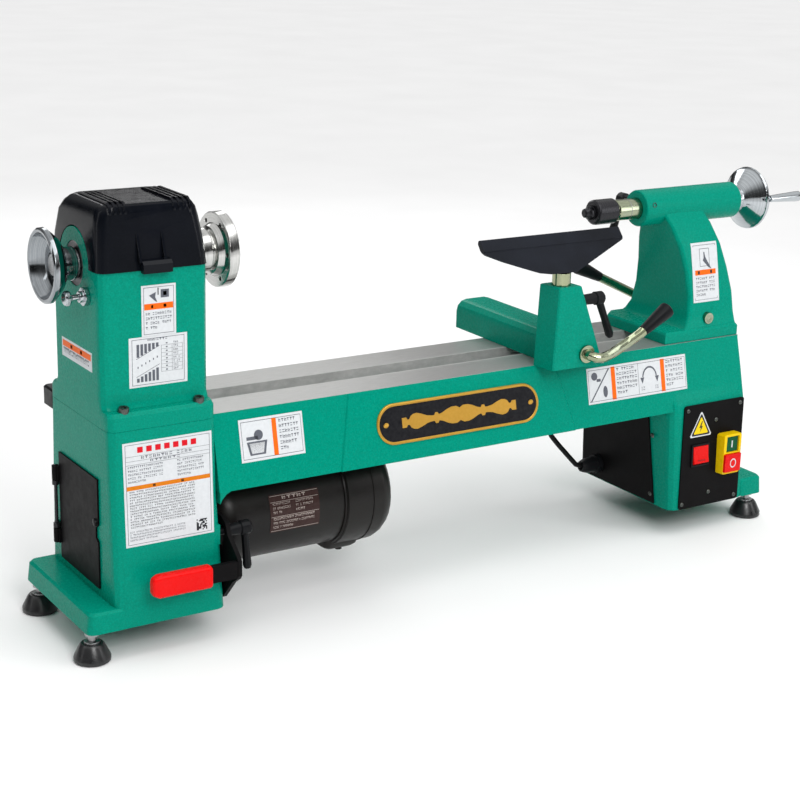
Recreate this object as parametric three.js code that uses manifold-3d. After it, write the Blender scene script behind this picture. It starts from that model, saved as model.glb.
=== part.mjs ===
// A bench wood lathe: cast bed on two pedestals, belt-driven headstock, banjo with tool rest, and tailstock.
// Millimetres, +Z up, +X along the bed from headstock to tailstock, +Y to the back.
// The spindle axis is Y = 0.
import * as THREE from "three";
import { mergeVertices } from "three/addons/utils/BufferGeometryUtils.js";
import Module from "manifold-3d";

const wasm = await Module();
wasm.setup();

// ---------------------------------------------------------------- driving dimensions
const BED_TOP = 245.6; // floor to the ground ways
const CENTRE_HEIGHT = 160; // ways to the spindle axis: a swing of about 12.5 inches
const SPINDLE_Z = BED_TOP + CENTRE_HEIGHT;
const BASE_Z = 34.5; // floor to the underside of both pedestals
const FOOT_Y = 73.7; // the feet stand this far either side of the centre line
const FOOT_LEFT_X = -17.3;
const FOOT_RIGHT_X = 897.6;
const GAP = 0.3; // clearance between touching pieces

const WAY_HALF = 66; // half the width of the bed's top
const SLOT_HALF = 16.4; // half the width of the bed's slot
const BED_LEFT = 125.6;
const BED_RIGHT = 866;
const BED_BOTTOM = 163.5;
const BED_FLARE = 18; // the sides lean out by this much at the bottom
const WAY_THICK = 20;

const COLUMN_LEFT = 4;
const COLUMN_RIGHT = 123.4;
const FLANGE_TOP = 264; // top of the headstock's own foot
const HEAD_HALF = 62.5;
const WALL = 7;

const MOTOR_Z = 110;
const MOTOR_R = 58;
const PULLEY_STEPS = 6;
const PULLEY_LEFT = 27;
const STEP_WIDTH = 12.4;
const SPINDLE_STEP_R = 50; // radius of the spindle pulley's largest step
const MOTOR_STEP_R = 22; // radius of the motor pulley's smallest step
const STEP_CHANGE = 5;
const BELT_STEP = 2; // the belt runs on this step, counted from the left

const POST_X = 566.5;
const POST_Y = -81.5;
const POST_R = 11;
const CAM_X = 595.5; // axis of the banjo's clamping shaft
const CAM_Z = 261.5;
const TAIL_CAM_X = 819;
const TAIL_CAM_Z = 271;

// ---------------------------------------------------------------- materials
const finish = (color, metalness, roughness) =>
  new THREE.MeshStandardMaterial({ color, metalness, roughness });
const GREEN = [0x00806a, 0.1, 0.55];
const CHROME = [0xd8dce0, 1, 0.12];
const STEEL = [0xb4b8bc, 1, 0.3];
const BLACK = [0x15171a, 0.1, 0.4];
const RUBBER = [0x111111, 0, 0.85];
const CHARCOAL = [0x23262d, 0.3, 0.5];

// ---------------------------------------------------------------- solids
// A geometry as a solid that can be joined and cut.
function solid(geometry) {
  const bare = new THREE.BufferGeometry();
  const flat = geometry.index ? geometry.toNonIndexed() : geometry;
  bare.setAttribute("position", flat.getAttribute("position"));
  const merged = mergeVertices(bare, 1e-4);
  const source = merged.index.array;
  const faces = [];
  for (let i = 0; i < source.length; i += 3) {
    const [a, b, c] = [source[i], source[i + 1], source[i + 2]];
    if (a !== b && b !== c && c !== a) faces.push(a, b, c);
  }
  return new wasm.Manifold(
    new wasm.Mesh({
      numProp: 3,
      vertProperties: merged.attributes.position.array,
      triVerts: new Uint32Array(faces),
    }),
  );
}

const join = (...parts) => wasm.Manifold.union(parts);
const cut = (body, ...tools) => wasm.Manifold.difference([body, ...tools]);

// A solid back as a three.js geometry.
function geometryOf(body) {
  const m = body.getMesh();
  const positions = new Float32Array(m.numVert * 3);
  for (let i = 0; i < m.numVert; i++) {
    positions.set(m.vertProperties.subarray(i * m.numProp, i * m.numProp + 3), i * 3);
  }
  const geometry = new THREE.BufferGeometry();
  geometry.setAttribute("position", new THREE.BufferAttribute(positions, 3));
  geometry.setIndex(new THREE.BufferAttribute(new Uint32Array(m.triVerts), 1));
  return geometry;
}

const group = new THREE.Group();
group.name = "wood_lathe";

function add(name, body, look) {
  const geometry = geometryOf(body);
  geometry.computeVertexNormals();
  const mesh = new THREE.Mesh(geometry, finish(...look));
  mesh.name = name;
  group.add(mesh);
  return mesh;
}

// A block from two opposite corners.
function box(x0, x1, y0, y1, z0, z1) {
  const g = new THREE.BoxGeometry(x1 - x0, y1 - y0, z1 - z0);
  g.translate((x0 + x1) / 2, (y0 + y1) / 2, (z0 + z1) / 2);
  return solid(g);
}

// A body through closed rings of points, each with the same count, joined in order and capped flat.
function loft(rings) {
  const n = rings[0].length;
  const positions = [];
  const at = (i, j) => rings[i][((j % n) + n) % n];
  const face = (a, b, c) => positions.push(...a, ...b, ...c);
  for (let i = 0; i + 1 < rings.length; i++) {
    for (let j = 0; j < n; j++) {
      face(at(i, j), at(i, j + 1), at(i + 1, j + 1));
      face(at(i, j), at(i + 1, j + 1), at(i + 1, j));
    }
  }
  const middle = (ring) => [0, 1, 2].map((k) => ring.reduce((sum, p) => sum + p[k], 0) / n);
  const last = rings.length - 1;
  const first = middle(rings[0]);
  const end = middle(rings[last]);
  for (let j = 0; j < n; j++) {
    face(first, at(0, j + 1), at(0, j));
    face(end, at(last, j), at(last, j + 1));
  }
  const g = new THREE.BufferGeometry();
  g.setAttribute("position", new THREE.BufferAttribute(new Float32Array(positions), 3));
  const made = solid(g);
  if (made.volume() < 0) throw new Error("a loft is inside out");
  return made;
}

// Corner-rounded rectangle in two coordinates, counter-clockwise.
function roundRect(a0, a1, b0, b1, r, steps = 3) {
  const corners = [
    [a1 - r, b0 + r, -90],
    [a1 - r, b1 - r, 0],
    [a0 + r, b1 - r, 90],
    [a0 + r, b0 + r, 180],
  ];
  const points = [];
  for (const [ca, cb, start] of corners) {
    for (let i = 0; i <= steps; i++) {
      const t = THREE.MathUtils.degToRad(start + (90 * i) / steps);
      points.push([ca + r * Math.cos(t), cb + r * Math.sin(t)]);
    }
  }
  return points;
}

// A column of rounded rectangles at rising heights: [z, x0, x1, y0, y1, corner].
function tower(levels, steps = 3) {
  return loft(
    levels.map(([z, x0, x1, y0, y1, r]) => roundRect(x0, x1, y0, y1, r, steps).map(([x, y]) => [x, y, z])),
  );
}

// An outline pushed along one axis, from one station to another.
function prism(outline, axis, from, to) {
  const shape = new THREE.Shape(outline.map(([a, b]) => new THREE.Vector2(a, b)));
  const g = new THREE.ExtrudeGeometry(shape, { depth: to - from, bevelEnabled: false });
  g.translate(0, 0, from);
  const turn = new THREE.Matrix4();
  // Outline (a, b) is (y, z) for axis x, and (x, y) for axis z. For axis y it is (x, z), drawn mirrored.
  if (axis === "x") turn.set(0, 0, 1, 0, 1, 0, 0, 0, 0, 1, 0, 0, 0, 0, 0, 1);
  if (axis === "y") turn.set(1, 0, 0, 0, 0, 0, -1, from + to, 0, 1, 0, 0, 0, 0, 0, 1);
  g.applyMatrix4(turn);
  return solid(g);
}

// A profile of [along, radius] pairs turned about an axis through (p, q).
function turned(profile, axis, p, q, segments = 28) {
  const closed = profile[0][1] > 1e-6;
  const points = profile.map(([along, r]) => new THREE.Vector2(Math.max(r, 0), along));
  if (closed) points.push(points[0].clone());
  const g = new THREE.LatheGeometry(points, segments);
  const m = new THREE.Matrix4();
  if (axis === "x") m.set(0, 1, 0, 0, 0, 0, 1, p, 1, 0, 0, q, 0, 0, 0, 1);
  if (axis === "y") m.set(1, 0, 0, p, 0, 1, 0, 0, 0, 0, 1, q, 0, 0, 0, 1);
  if (axis === "z") m.set(0, 0, 1, p, 1, 0, 0, q, 0, 1, 0, 0, 0, 0, 0, 1);
  g.applyMatrix4(m);
  let made = solid(g);
  if (made.volume() < 0) {
    const flipped = new THREE.BufferGeometry();
    const flat = g.toNonIndexed().getAttribute("position").array.slice();
    for (let i = 0; i < flat.length; i += 9) {
      for (let k = 0; k < 3; k++) {
        [flat[i + 3 + k], flat[i + 6 + k]] = [flat[i + 6 + k], flat[i + 3 + k]];
      }
    }
    flipped.setAttribute("position", new THREE.BufferAttribute(flat, 3));
    made = solid(flipped);
  }
  return made;
}

const rod = (axis, p, q, r, from, to, segments = 24) =>
  turned([[from, 0], [from, r], [to, r], [to, 0]], axis, p, q, segments);

// A round bar along a path of points, with flat closed ends.
function bar(points, radius, steps, segments = 12) {
  const path = new THREE.CatmullRomCurve3(
    points.map((p) => new THREE.Vector3(...p)),
    false,
    "centripetal",
  );
  const circle = new THREE.Shape();
  circle.absarc(0, 0, radius, 0, 2 * Math.PI, false);
  const g = new THREE.ExtrudeGeometry(circle, {
    steps,
    extrudePath: path,
    curveSegments: Math.max(3, segments / 2),
    bevelEnabled: false,
  });
  return solid(g);
}

// A taper of circles strung along a straight line: [distance, radius] pairs from a start point.
function taper(start, direction, profile, segments = 16) {
  const d = new THREE.Vector3(...direction).normalize();
  const g = new THREE.LatheGeometry(profile.map(([along, r]) => new THREE.Vector2(r, along)), segments);
  g.applyQuaternion(new THREE.Quaternion().setFromUnitVectors(new THREE.Vector3(0, 1, 0), d));
  g.translate(...start);
  return solid(g);
}

// ---------------------------------------------------------------- bed and right pedestal, one casting
const sideY = (z) => WAY_HALF + (BED_FLARE * (BED_TOP - z)) / (BED_TOP - BED_BOTTOM);

// The front carries a slightly raised middle panel, so each station gives x at the top and at the bottom.
function bedRing(xTop, xBottom, proud) {
  const p = (x, y, z) => [x, y, z];
  const yb = sideY(BED_BOTTOM);
  const mid = (BED_TOP + BED_BOTTOM) / 2;
  const xm = (xTop + xBottom) / 2;
  return [
    p(xTop, -WAY_HALF, BED_TOP),
    p(xTop, WAY_HALF, BED_TOP),
    p(xm, sideY(mid), mid),
    p(xBottom, yb, BED_BOTTOM),
    p(xBottom, -yb - proud, BED_BOTTOM),
    p(xm, -sideY(mid) - proud, mid),
    p(xTop, -WAY_HALF - proud * 0.8, BED_TOP - 3),
  ].reverse();
}

const bedOutside = loft([
  bedRing(BED_LEFT, BED_LEFT, 0),
  bedRing(290.4, 273.4, 0),
  bedRing(292, 275, 1.6),
  bedRing(574, 597, 1.6),
  bedRing(575.6, 598.6, 0),
  bedRing(BED_RIGHT, BED_RIGHT + 2.4, 0),
]);
const under = BED_TOP - WAY_THICK;
const channel = prism(
  [
    [-sideY(under) + 10, under],
    [-sideY(BED_BOTTOM) + 9, BED_BOTTOM - 5],
    [sideY(BED_BOTTOM) - 9, BED_BOTTOM - 5],
    [sideY(under) - 10, under],
  ],
  "x",
  BED_LEFT + 6,
  BED_RIGHT - 9,
);
// The motor's plate swings through the bottom of the bed's left end.
const endGap = prism(
  [
    [-72, BED_BOTTOM - 20],
    [72, BED_BOTTOM - 20],
    [72, 176],
    [62, 205],
    [-62, 205],
    [-72, 176],
  ],
  "x",
  BED_LEFT - 5,
  BED_LEFT + 14,
);
const slot = box(BED_LEFT + 22, BED_RIGHT - 34, -SLOT_HALF, SLOT_HALF, under - 5, BED_TOP + 5);
const wayLips = [-SLOT_HALF - 7, SLOT_HALF].map((y) =>
  box(BED_LEFT + 5.5, BED_RIGHT - 8.5, y, y + 7, under - 6, under + 1),
);
// Small arches where the side walls run into the left column.
const archOutline = [
  [BED_LEFT + 0.8, BED_BOTTOM + 1],
  [BED_LEFT + 0.8, BED_BOTTOM - 13],
  [BED_LEFT + 3, BED_BOTTOM - 8.4],
  [BED_LEFT + 8, BED_BOTTOM - 3],
  [BED_LEFT + 16, BED_BOTTOM + 1],
];
const arches = [
  [-83.8, -75],
  [75, 83.8],
].map(([y0, y1]) => prism(archOutline, "y", y0, y1));
const bedRibs = [430, 560, 690].map((x) => box(x, x + 8, -75, 75, BED_BOTTOM + 14, BED_BOTTOM + 32));

const pedestalOutside = tower(
  [
    [BASE_Z, 751.5, 877, -91, 91, 12],
    [150, 747.5, 870, -86.8, 86.8, 12],
    [170, 747.2, 868.8, -86.2, 86.2, 11],
    [182, 749, 868.4, -80.6, 80.6, 9],
    [206, 754, 866, -72, 72, 6],
  ],
  3,
);
const pedestalInside = tower([
  [BASE_Z - 5, 760, 869, -82.5, 82.5, 8],
  [150, 757, 862, -79, 79, 8],
  [162, 757, 861, -74, 74, 8],
]);
const rightFoot = tower([
  [BASE_Z, 868, 909, -91, 91, 8],
  [BASE_Z + 20, 866, 907.5, -90, 90, 8],
  [BASE_Z + 23, 866, 905, -87.5, 87.5, 7],
]);
const rightFootHoles = [-FOOT_Y, FOOT_Y].map((y) =>
  rod("z", FOOT_RIGHT_X, y, 4.4, BASE_Z - 5, BASE_Z + 15, 12),
);
const sideOpening = box(740, 770, -38, 74, 48, 150);
const panelOpening = box(776, 858, -96, -70, 52, 148);

add(
  "bed",
  cut(
    join(
      cut(bedOutside, channel),
      ...wayLips,
      ...bedRibs,
      ...arches,
      cut(pedestalOutside, channel),
      rightFoot,
    ),
    endGap,
    slot,
    pedestalInside,
    sideOpening,
    panelOpening,
    ...rightFootHoles,
  ),
  GREEN,
);

// ---------------------------------------------------------------- left pedestal
const flareX = (z) => COLUMN_RIGHT + (7.6 * (BED_TOP - z)) / (BED_TOP - BASE_Z);
const flareY = (z) => 79.5 + (10 * (BED_TOP - z)) / (BED_TOP - BASE_Z);
const columnTop = BED_TOP - GAP;
// The bed butts against the column above BED_BOTTOM, so the flare starts below it.
const columnOutside = tower(
  [
    [BASE_Z, COLUMN_LEFT, flareX(BASE_Z), -flareY(BASE_Z), flareY(BASE_Z), 11],
    [BED_BOTTOM - 1, COLUMN_LEFT, 125.2, -flareY(BED_BOTTOM), flareY(BED_BOTTOM), 10],
    [columnTop, COLUMN_LEFT, 124.6, -79.5, 79.5, 10],
  ],
  3,
);
const columnInside = tower([
  [BASE_Z - 5, COLUMN_LEFT + WALL, flareX(BASE_Z) - WALL, -82, 82, 6],
  [columnTop - 14, COLUMN_LEFT + WALL, 124.6 - WALL, -72, 72, 6],
]);
const beltSlot = box(17, 113, -44, 44, columnTop - 30, columnTop + 5);
const doorOpening = box(COLUMN_LEFT - 5, COLUMN_LEFT + WALL + 2, -42, 48, 76, 180);
const motorOpening = prism(roundRect(-34, 34, MOTOR_Z - 34, MOTOR_Z + 42, 20), "x", 110, 140);
const PIVOT_Y = 56;
const PIVOT_Z = 150;
const LOCK_Y = -76;
const LOCK_Z = 117;
const pivotHole = rod("x", PIVOT_Y, PIVOT_Z, 6.3, 110, 140, 20);
const lockHole = rod("x", LOCK_Y, LOCK_Z, 4.3, 118.5, 140, 12);
const lockBoss = box(112, 126, -84, -66, 106, 128);
const leftFlange = tower([
  [BASE_Z, -27, 20, -90, 90, 8],
  [BASE_Z + 20, -25, 20, -89, 89, 8],
  [BASE_Z + 23, -22.5, 20, -86.5, 86.5, 7],
]);
const leftFootHoles = [-FOOT_Y, FOOT_Y].map((y) =>
  rod("z", FOOT_LEFT_X, y, 4.4, BASE_Z - 5, BASE_Z + 15, 12),
);
const bracketBoss = box(20, 106, 76, flareY(238) - 0.3, 226, 244);
add(
  "left_pedestal",
  cut(
    join(cut(join(columnOutside, leftFlange), columnInside), lockBoss, bracketBoss),
    beltSlot,
    doorOpening,
    motorOpening,
    pivotHole,
    lockHole,
    ...leftFootHoles,
  ),
  GREEN,
);

// A dark block behind the top of the column carries the shanks of spare tools.
add(
  "rear_bracket",
  cut(
    tower([
      [227.5, 8, 118, 80.8, 111, 4],
      [246.5, 8, 118, 80.8, 111, 4],
      [248.5, 10, 116, 80.8, 109, 3],
    ]),
    ...[30, 52, 74, 96].map((x) => rod("z", x, 98, 6, 220, 255, 12)),
  ),
  BLACK,
);

// ---------------------------------------------------------------- headstock
const headFoot = tower(
  [
    [BED_TOP, COLUMN_LEFT, 124.8, -79.5, 79.5, 10],
    [FLANGE_TOP - 4, COLUMN_LEFT, 124.8, -79.2, 79.2, 10],
    [FLANGE_TOP, COLUMN_LEFT + 0.8, 123.6, -75.5, 75.5, 9],
  ],
  3,
);
const headBody = tower(
  [
    [BED_TOP + 4, COLUMN_LEFT, 124.8, -HEAD_HALF - 4, HEAD_HALF + 4, 10],
    [FLANGE_TOP + 1, COLUMN_LEFT, 124.8, -HEAD_HALF - 4, HEAD_HALF + 4, 10],
    [FLANGE_TOP + 8, COLUMN_LEFT, 124.8, -HEAD_HALF, HEAD_HALF, 10],
    [SPINDLE_Z, COLUMN_LEFT, 124.8, -HEAD_HALF, HEAD_HALF, 10],
  ],
  3,
);
const headInside = tower([
  [BED_TOP + 12, COLUMN_LEFT + 8, 116, -56, 56, 6],
  [SPINDLE_Z + 50, COLUMN_LEFT + 8, 116, -56, 56, 6],
]);
const bosses = [
  rod("x", 0, SPINDLE_Z, 37.6, COLUMN_LEFT, 22, 28),
  rod("x", 0, SPINDLE_Z, 37.6, 106, 124.8, 28),
];
const BEARING_R = 23.5;
const bearingBores = [
  rod("x", 0, SPINDLE_Z, BEARING_R, COLUMN_LEFT - 2, 18.5, 24),
  rod("x", 0, SPINDLE_Z, BEARING_R, 110.5, 130, 24),
  rod("x", 0, SPINDLE_Z, 19, 15, 115, 24),
];
const INDEX_Y = -32;
const INDEX_Z = 377.7;
const indexHole = rod("x", INDEX_Y, INDEX_Z, 5.3, COLUMN_LEFT - 2, 30, 12);
const HINGE_Y = 68.4;
const HINGE_Z = 398;
const headKnuckle = join(
  rod("x", HINGE_Y, HINGE_Z, 4.8, 48, 80, 12),
  box(50, 78, 58, 68, 392, 398.5),
);
add(
  "headstock",
  cut(
    join(cut(join(headFoot, headBody), headInside), ...bosses, headKnuckle),
    ...bearingBores,
    indexHole,
    rod("x", HINGE_Y, HINGE_Z, 2.8, 40, 90, 12),
    box(17, 113, -44, 44, BED_TOP - 5, BED_TOP + 20),
  ),
  GREEN,
);

// ---------------------------------------------------------------- belt cover
const coverOutside = tower(
  [
    [SPINDLE_Z + GAP, 3.2, 125.4, -64.4, 63.6, 11],
    [430, 4, 123.6, -61.5, 60, 12],
    [455, 5.5, 119.6, -59, 52, 13],
    [465, 8, 117, -57.8, 43, 13],
    [470.4, 12, 113, -56, 35.5, 12],
    [472.4, 16, 109, -53, 31, 10],
  ],
  3,
);
const coverInside = tower([
  [SPINDLE_Z - 6, 6, 122.6, -61.4, 60.8, 9],
  [430, 7, 120.6, -58.5, 57, 9],
  [455, 8.5, 116.6, -56, 49, 10],
  [464, 12, 113, -54, 40.5, 10],
  [469.4, 19, 106, -48, 30, 10],
]);
const roofRibs = [];
for (const [first, pitch] of [
  [18.4, 5.5],
  [88, 5.9],
]) {
  for (let i = 0; i < 4; i++) {
    const x = first + pitch * i;
    const outline = [
      [-58.4, 463],
      [-58.6, 466.4],
      [-56.4, 471.2],
      [-50, 475],
      [16, 475],
      [21, 473.4],
      [23, 463],
    ];
    roofRibs.push(prism(outline, "x", x, x + 2.6));
  }
}
const archCut = rod("x", 0, SPINDLE_Z, 39, -5, 140, 28);
const latch = cut(
  join(
    prism(
      [
        [-60, 418],
        [-70, 416.5],
        [-73, 413],
        [-73, 404],
        [-66.2, 404],
        [-66.2, 408],
        [-60, 409],
      ],
      "x",
      48,
      80,
    ),
    ...[45.6, 72.6].map((x) =>
      prism(
        [
          [-57.6, 452],
          [-70, 415],
          [-58, 415],
        ],
        "x",
        x,
        x + 2.6,
      ),
    ),
  ),
  coverInside,
);
const coverKnuckles = [
  [32, 47.4],
  [80.6, 96],
].map(([x0, x1]) =>
  join(
    rod("x", HINGE_Y, HINGE_Z, 4.8, x0, x1, 12),
    prism(
      [
        [63.8, HINGE_Z],
        [73.1, HINGE_Z],
        [70, 409],
        [58, 412],
        [58, SPINDLE_Z + 1.2],
        [63.8, SPINDLE_Z + 0.4],
      ],
      "x",
      x0,
      x1,
    ),
  ),
);
add(
  "belt_cover",
  cut(
    join(cut(join(coverOutside, ...roofRibs), coverInside, archCut), latch, ...coverKnuckles),
    rod("x", HINGE_Y, HINGE_Z, 2.8, 25, 105, 12),
  ),
  BLACK,
);
add("cover_hinge_pin", rod("x", HINGE_Y, HINGE_Z, 2.5, 31, 97, 12), STEEL);

// ---------------------------------------------------------------- spindle line
const bearing = (x0, x1) =>
  turned(
    [
      [x0, 15.3],
      [x0 + 0.8, 17.2],
      [x0 + 0.8, 20.4],
      [x0, BEARING_R - 0.3],
      [x1, BEARING_R - 0.3],
      [x1, 15.3],
    ],
    "x",
    0,
    SPINDLE_Z,
    24,
  );
add("bearing_left", bearing(COLUMN_LEFT + 0.6, 18.3), STEEL);
add("bearing_right", bearing(110.7, 124.2), STEEL);

// The nose carries a thread for the faceplate and a taper socket for the drive centre.
add(
  "spindle",
  turned(
    [
      [-19.5, 0],
      [-19.5, 11],
      [-18.5, 12],
      [3.2, 12],
      [3.4, 15],
      [21, 15],
      [21.2, 17],
      [108, 17],
      [108.2, 15],
      [124.8, 15],
      [125, 19],
      [130, 19],
      [131, 15.9],
      [168, 15.9],
      [168, 9.3],
      [118, 7.5],
      [118, 0],
    ],
    "x",
    0,
    SPINDLE_Z,
    24,
  ),
  STEEL,
);

// Dished handwheel on the outer end, opening away from the headstock.
add(
  "outboard_handwheel",
  turned(
    [
      [-20, 12.3],
      [-16.8, 16],
      [-17.5, 24],
      [-24, 31.4],
      [-31.2, 34],
      [-31.8, 36.8],
      [-30, 38.8],
      [-26, 39],
      [-20.5, 34.2],
      [-14.5, 28],
      [-11.2, 17.4],
      [2.2, 17.4],
      [2.8, 16.4],
      [2.8, 12.3],
    ],
    "x",
    0,
    SPINDLE_Z,
    30,
  ),
  CHROME,
);

const FACEPLATE_LEFT = 160.8;
const plateHoles = [];
for (let i = 0; i < 6; i++) {
  const t = (Math.PI * (2 * i + 1)) / 6;
  plateHoles.push(
    rod("x", 33 * Math.sin(t), SPINDLE_Z + 33 * Math.cos(t), 2.6, FACEPLATE_LEFT - 5, FACEPLATE_LEFT + 20, 8),
  );
}
add(
  "faceplate",
  cut(
    turned(
      [
        [133, 16.2],
        [133, 22.6],
        [134.5, 24.4],
        [149, 24.4],
        [151, 21],
        [153, 21],
        [154.5, 25.8],
        [158, 27.4],
        [FACEPLATE_LEFT, 29],
        [FACEPLATE_LEFT, 39.6],
        [FACEPLATE_LEFT + 1, 40.5],
        [FACEPLATE_LEFT + 11, 40.5],
        [FACEPLATE_LEFT + 12, 39.6],
        [FACEPLATE_LEFT + 12, 16.2],
      ],
      "x",
      0,
      SPINDLE_Z,
      30,
    ),
    ...plateHoles,
    taper([143, 0, SPINDLE_Z + 14], [0, 0, 1], [[0, 0], [0, 2.6], [14, 2.6], [14, 0]], 10),
  ),
  STEEL,
);

// Four-spur drive centre, its taper held in the nose.
const spurs = [];
for (let i = 0; i < 4; i++) {
  const t = (Math.PI * i) / 2 + Math.PI / 5;
  const blade = new THREE.BufferGeometry().copy(new THREE.BoxGeometry(9, 2.2, 9.4));
  blade.translate(0, 0, 7.2);
  blade.rotateX(t);
  blade.translate(183.8, 0, SPINDLE_Z);
  spurs.push(solid(blade));
}
add(
  "drive_centre",
  cut(
    join(
      turned(
        [
          [121, 0],
          [121, 7.3],
          [167.9, 8.98],
          [172, 8.98],
          [172, 12.5],
          [181, 12.5],
          [182.5, 9],
          [182.5, 3],
          [191, 0],
        ],
        "x",
        0,
        SPINDLE_Z,
        24,
      ),
      ...spurs,
    ),
  ),
  STEEL,
);

// ---------------------------------------------------------------- pulleys and belt
// Plain steps, largest first or last.
function stepPulley(radii, bore) {
  const profile = [[PULLEY_LEFT, bore]];
  radii.forEach((r, i) => {
    const x = PULLEY_LEFT + STEP_WIDTH * i;
    profile.push([x, r], [x + STEP_WIDTH, r]);
  });
  profile.push([PULLEY_LEFT + STEP_WIDTH * radii.length, bore]);
  return profile;
}
const spindleSteps = [...Array(PULLEY_STEPS).keys()].map((i) => SPINDLE_STEP_R - STEP_CHANGE * i);
const motorSteps = [...Array(PULLEY_STEPS).keys()].map((i) => MOTOR_STEP_R + STEP_CHANGE * i);
const indexHoles = [];
const indexRadius = Math.hypot(INDEX_Y, SPINDLE_Z - INDEX_Z);
const indexPhase = Math.atan2(INDEX_Z - SPINDLE_Z, INDEX_Y);
for (let i = 0; i < 12; i++) {
  const t = indexPhase + (Math.PI * i) / 6;
  const y = indexRadius * Math.cos(t);
  const z = SPINDLE_Z + indexRadius * Math.sin(t);
  indexHoles.push(rod("x", y, z, 4, PULLEY_LEFT - 2, PULLEY_LEFT + 9, 8));
}
add(
  "spindle_pulley",
  cut(turned(stepPulley(spindleSteps, 17.3), "x", 0, SPINDLE_Z, 24), ...indexHoles),
  [0xb9bdc2, 0.9, 0.4],
);
add("motor_pulley", turned(stepPulley(motorSteps, 8.3), "x", 0, MOTOR_Z, 20), [0xb9bdc2, 0.9, 0.4]);

// An open belt round both pulleys at one step: two tangent runs and two arcs.
function beltLoop(topR, lowR) {
  const span = SPINDLE_Z - MOTOR_Z;
  const lean = Math.asin((topR - lowR) / span);
  const points = [];
  const n = 14;
  for (let i = 0; i <= n; i++) {
    const t = -lean + ((Math.PI + 2 * lean) * i) / n;
    points.push([topR * Math.cos(t), SPINDLE_Z + topR * Math.sin(t)]);
  }
  for (let i = 0; i <= n; i++) {
    const t = Math.PI + lean + ((Math.PI - 2 * lean) * i) / n;
    points.push([lowR * Math.cos(t), MOTOR_Z + lowR * Math.sin(t)]);
  }
  return points;
}
const seatTop = spindleSteps[BELT_STEP];
const seatLow = motorSteps[BELT_STEP];
const beltX = PULLEY_LEFT + STEP_WIDTH * BELT_STEP + 1.6;
const beltWidth = STEP_WIDTH - 3.2;
add(
  "drive_belt",
  cut(
    prism(beltLoop(seatTop + 4, seatLow + 4), "x", beltX, beltX + beltWidth),
    prism(beltLoop(seatTop + 0.7, seatLow + 0.7), "x", beltX - 2, beltX + beltWidth + 2),
  ),
  RUBBER,
);

// ---------------------------------------------------------------- indexing pin
add(
  "index_pin_body",
  turned(
    [
      [-5, 3.4],
      [-5, 6],
      [-1.2, 6],
      [-1.2, 9.6],
      [3.6, 9.6],
      [3.6, 4.8],
      [13, 4.8],
      [13, 3.4],
    ],
    "x",
    INDEX_Y,
    INDEX_Z,
    12,
  ),
  CHROME,
);
add(
  "index_plunger",
  turned(
    [
      [-21, 0],
      [-21, 6],
      [-19.8, 7.4],
      [-15, 7.4],
      [-13.8, 6],
      [-12.6, 3.1],
      [23.5, 3.1],
      [25.5, 2],
      [25.5, 0],
    ],
    "x",
    INDEX_Y,
    INDEX_Z,
    12,
  ),
  CHROME,
);

// ---------------------------------------------------------------- motor on its swinging plate
const PLATE_LEFT = 132.6;
const PLATE_THICK = 5;
const plateOutline = [
  [72, 140],
  [70, 156],
  [61, 163],
  [48, 163],
  [20, 150],
  [-40, 146],
  [-60, 133],
  [-72, 133],
  [-83, 128],
  [-88, 116],
  [-110.5, 98],
  [-112.5, 94],
  [-112.5, 78],
  [-110, 74],
  [-99, 66],
  [-76, 41],
  [-66, 40],
  [-40, 56],
  [20, 56],
  [52, 84],
];
const armRadius = Math.hypot(LOCK_Y - PIVOT_Y, LOCK_Z - PIVOT_Z);
const armAngle = Math.atan2(LOCK_Z - PIVOT_Z, LOCK_Y - PIVOT_Y);
// The slot follows the locking stud as the plate swings.
// The motor only lifts, so the slot runs downward from the stud.
function arcSlot(halfWidth) {
  const outer = [];
  const inner = [];
  for (let i = 0; i <= 6; i++) {
    const t = armAngle + THREE.MathUtils.degToRad(-2.6 + (13 * i) / 6);
    outer.push([
      PIVOT_Y + (armRadius + halfWidth) * Math.cos(t),
      PIVOT_Z + (armRadius + halfWidth) * Math.sin(t),
    ]);
    inner.push([
      PIVOT_Y + (armRadius - halfWidth) * Math.cos(t),
      PIVOT_Z + (armRadius - halfWidth) * Math.sin(t),
    ]);
  }
  return [...outer, ...inner.reverse()];
}
add(
  "motor_plate",
  join(
    cut(
      prism(plateOutline.slice().reverse(), "x", PLATE_LEFT, PLATE_LEFT + PLATE_THICK),
      prism(arcSlot(5), "x", 125, 145),
      rod("x", 0, MOTOR_Z, 20, 125, 145, 24),
    ),
    rod("x", PIVOT_Y, PIVOT_Z, 6, 112, 135, 20),
  ),
  BLACK,
);

const motorLeft = PLATE_LEFT + PLATE_THICK + GAP;
const motorCase = turned(
  [
    [motorLeft, 0],
    [motorLeft, 44],
    [motorLeft + 4, 51],
    [motorLeft + 12, 56],
    [motorLeft + 22, MOTOR_R],
    [296.5, MOTOR_R],
    [299, MOTOR_R + 4],
    [344, MOTOR_R + 4.4],
    [352, MOTOR_R + 1.6],
    [358, MOTOR_R - 3],
    [362, MOTOR_R - 10],
    [364, MOTOR_R - 20],
    [364, 0],
  ],
  "x",
  0,
  MOTOR_Z,
  32,
);
const clampPad = join(
  tower([
    [45.5, 294, 330, -21, 2, 6],
    [49, 289, 334, -25, 6, 8],
    [60, 289, 334, -30, 12, 8],
  ]),
  rod("z", 312, -16, 4.2, 42.5, 60, 8),
);
const terminalBox = box(312, 356, 8, 48, 140, 178);
add(
  "motor_body",
  cut(join(motorCase, clampPad, terminalBox), rod("x", 0, MOTOR_Z, 12.3, motorLeft - 5, 358, 16)),
  BLACK,
);
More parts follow.
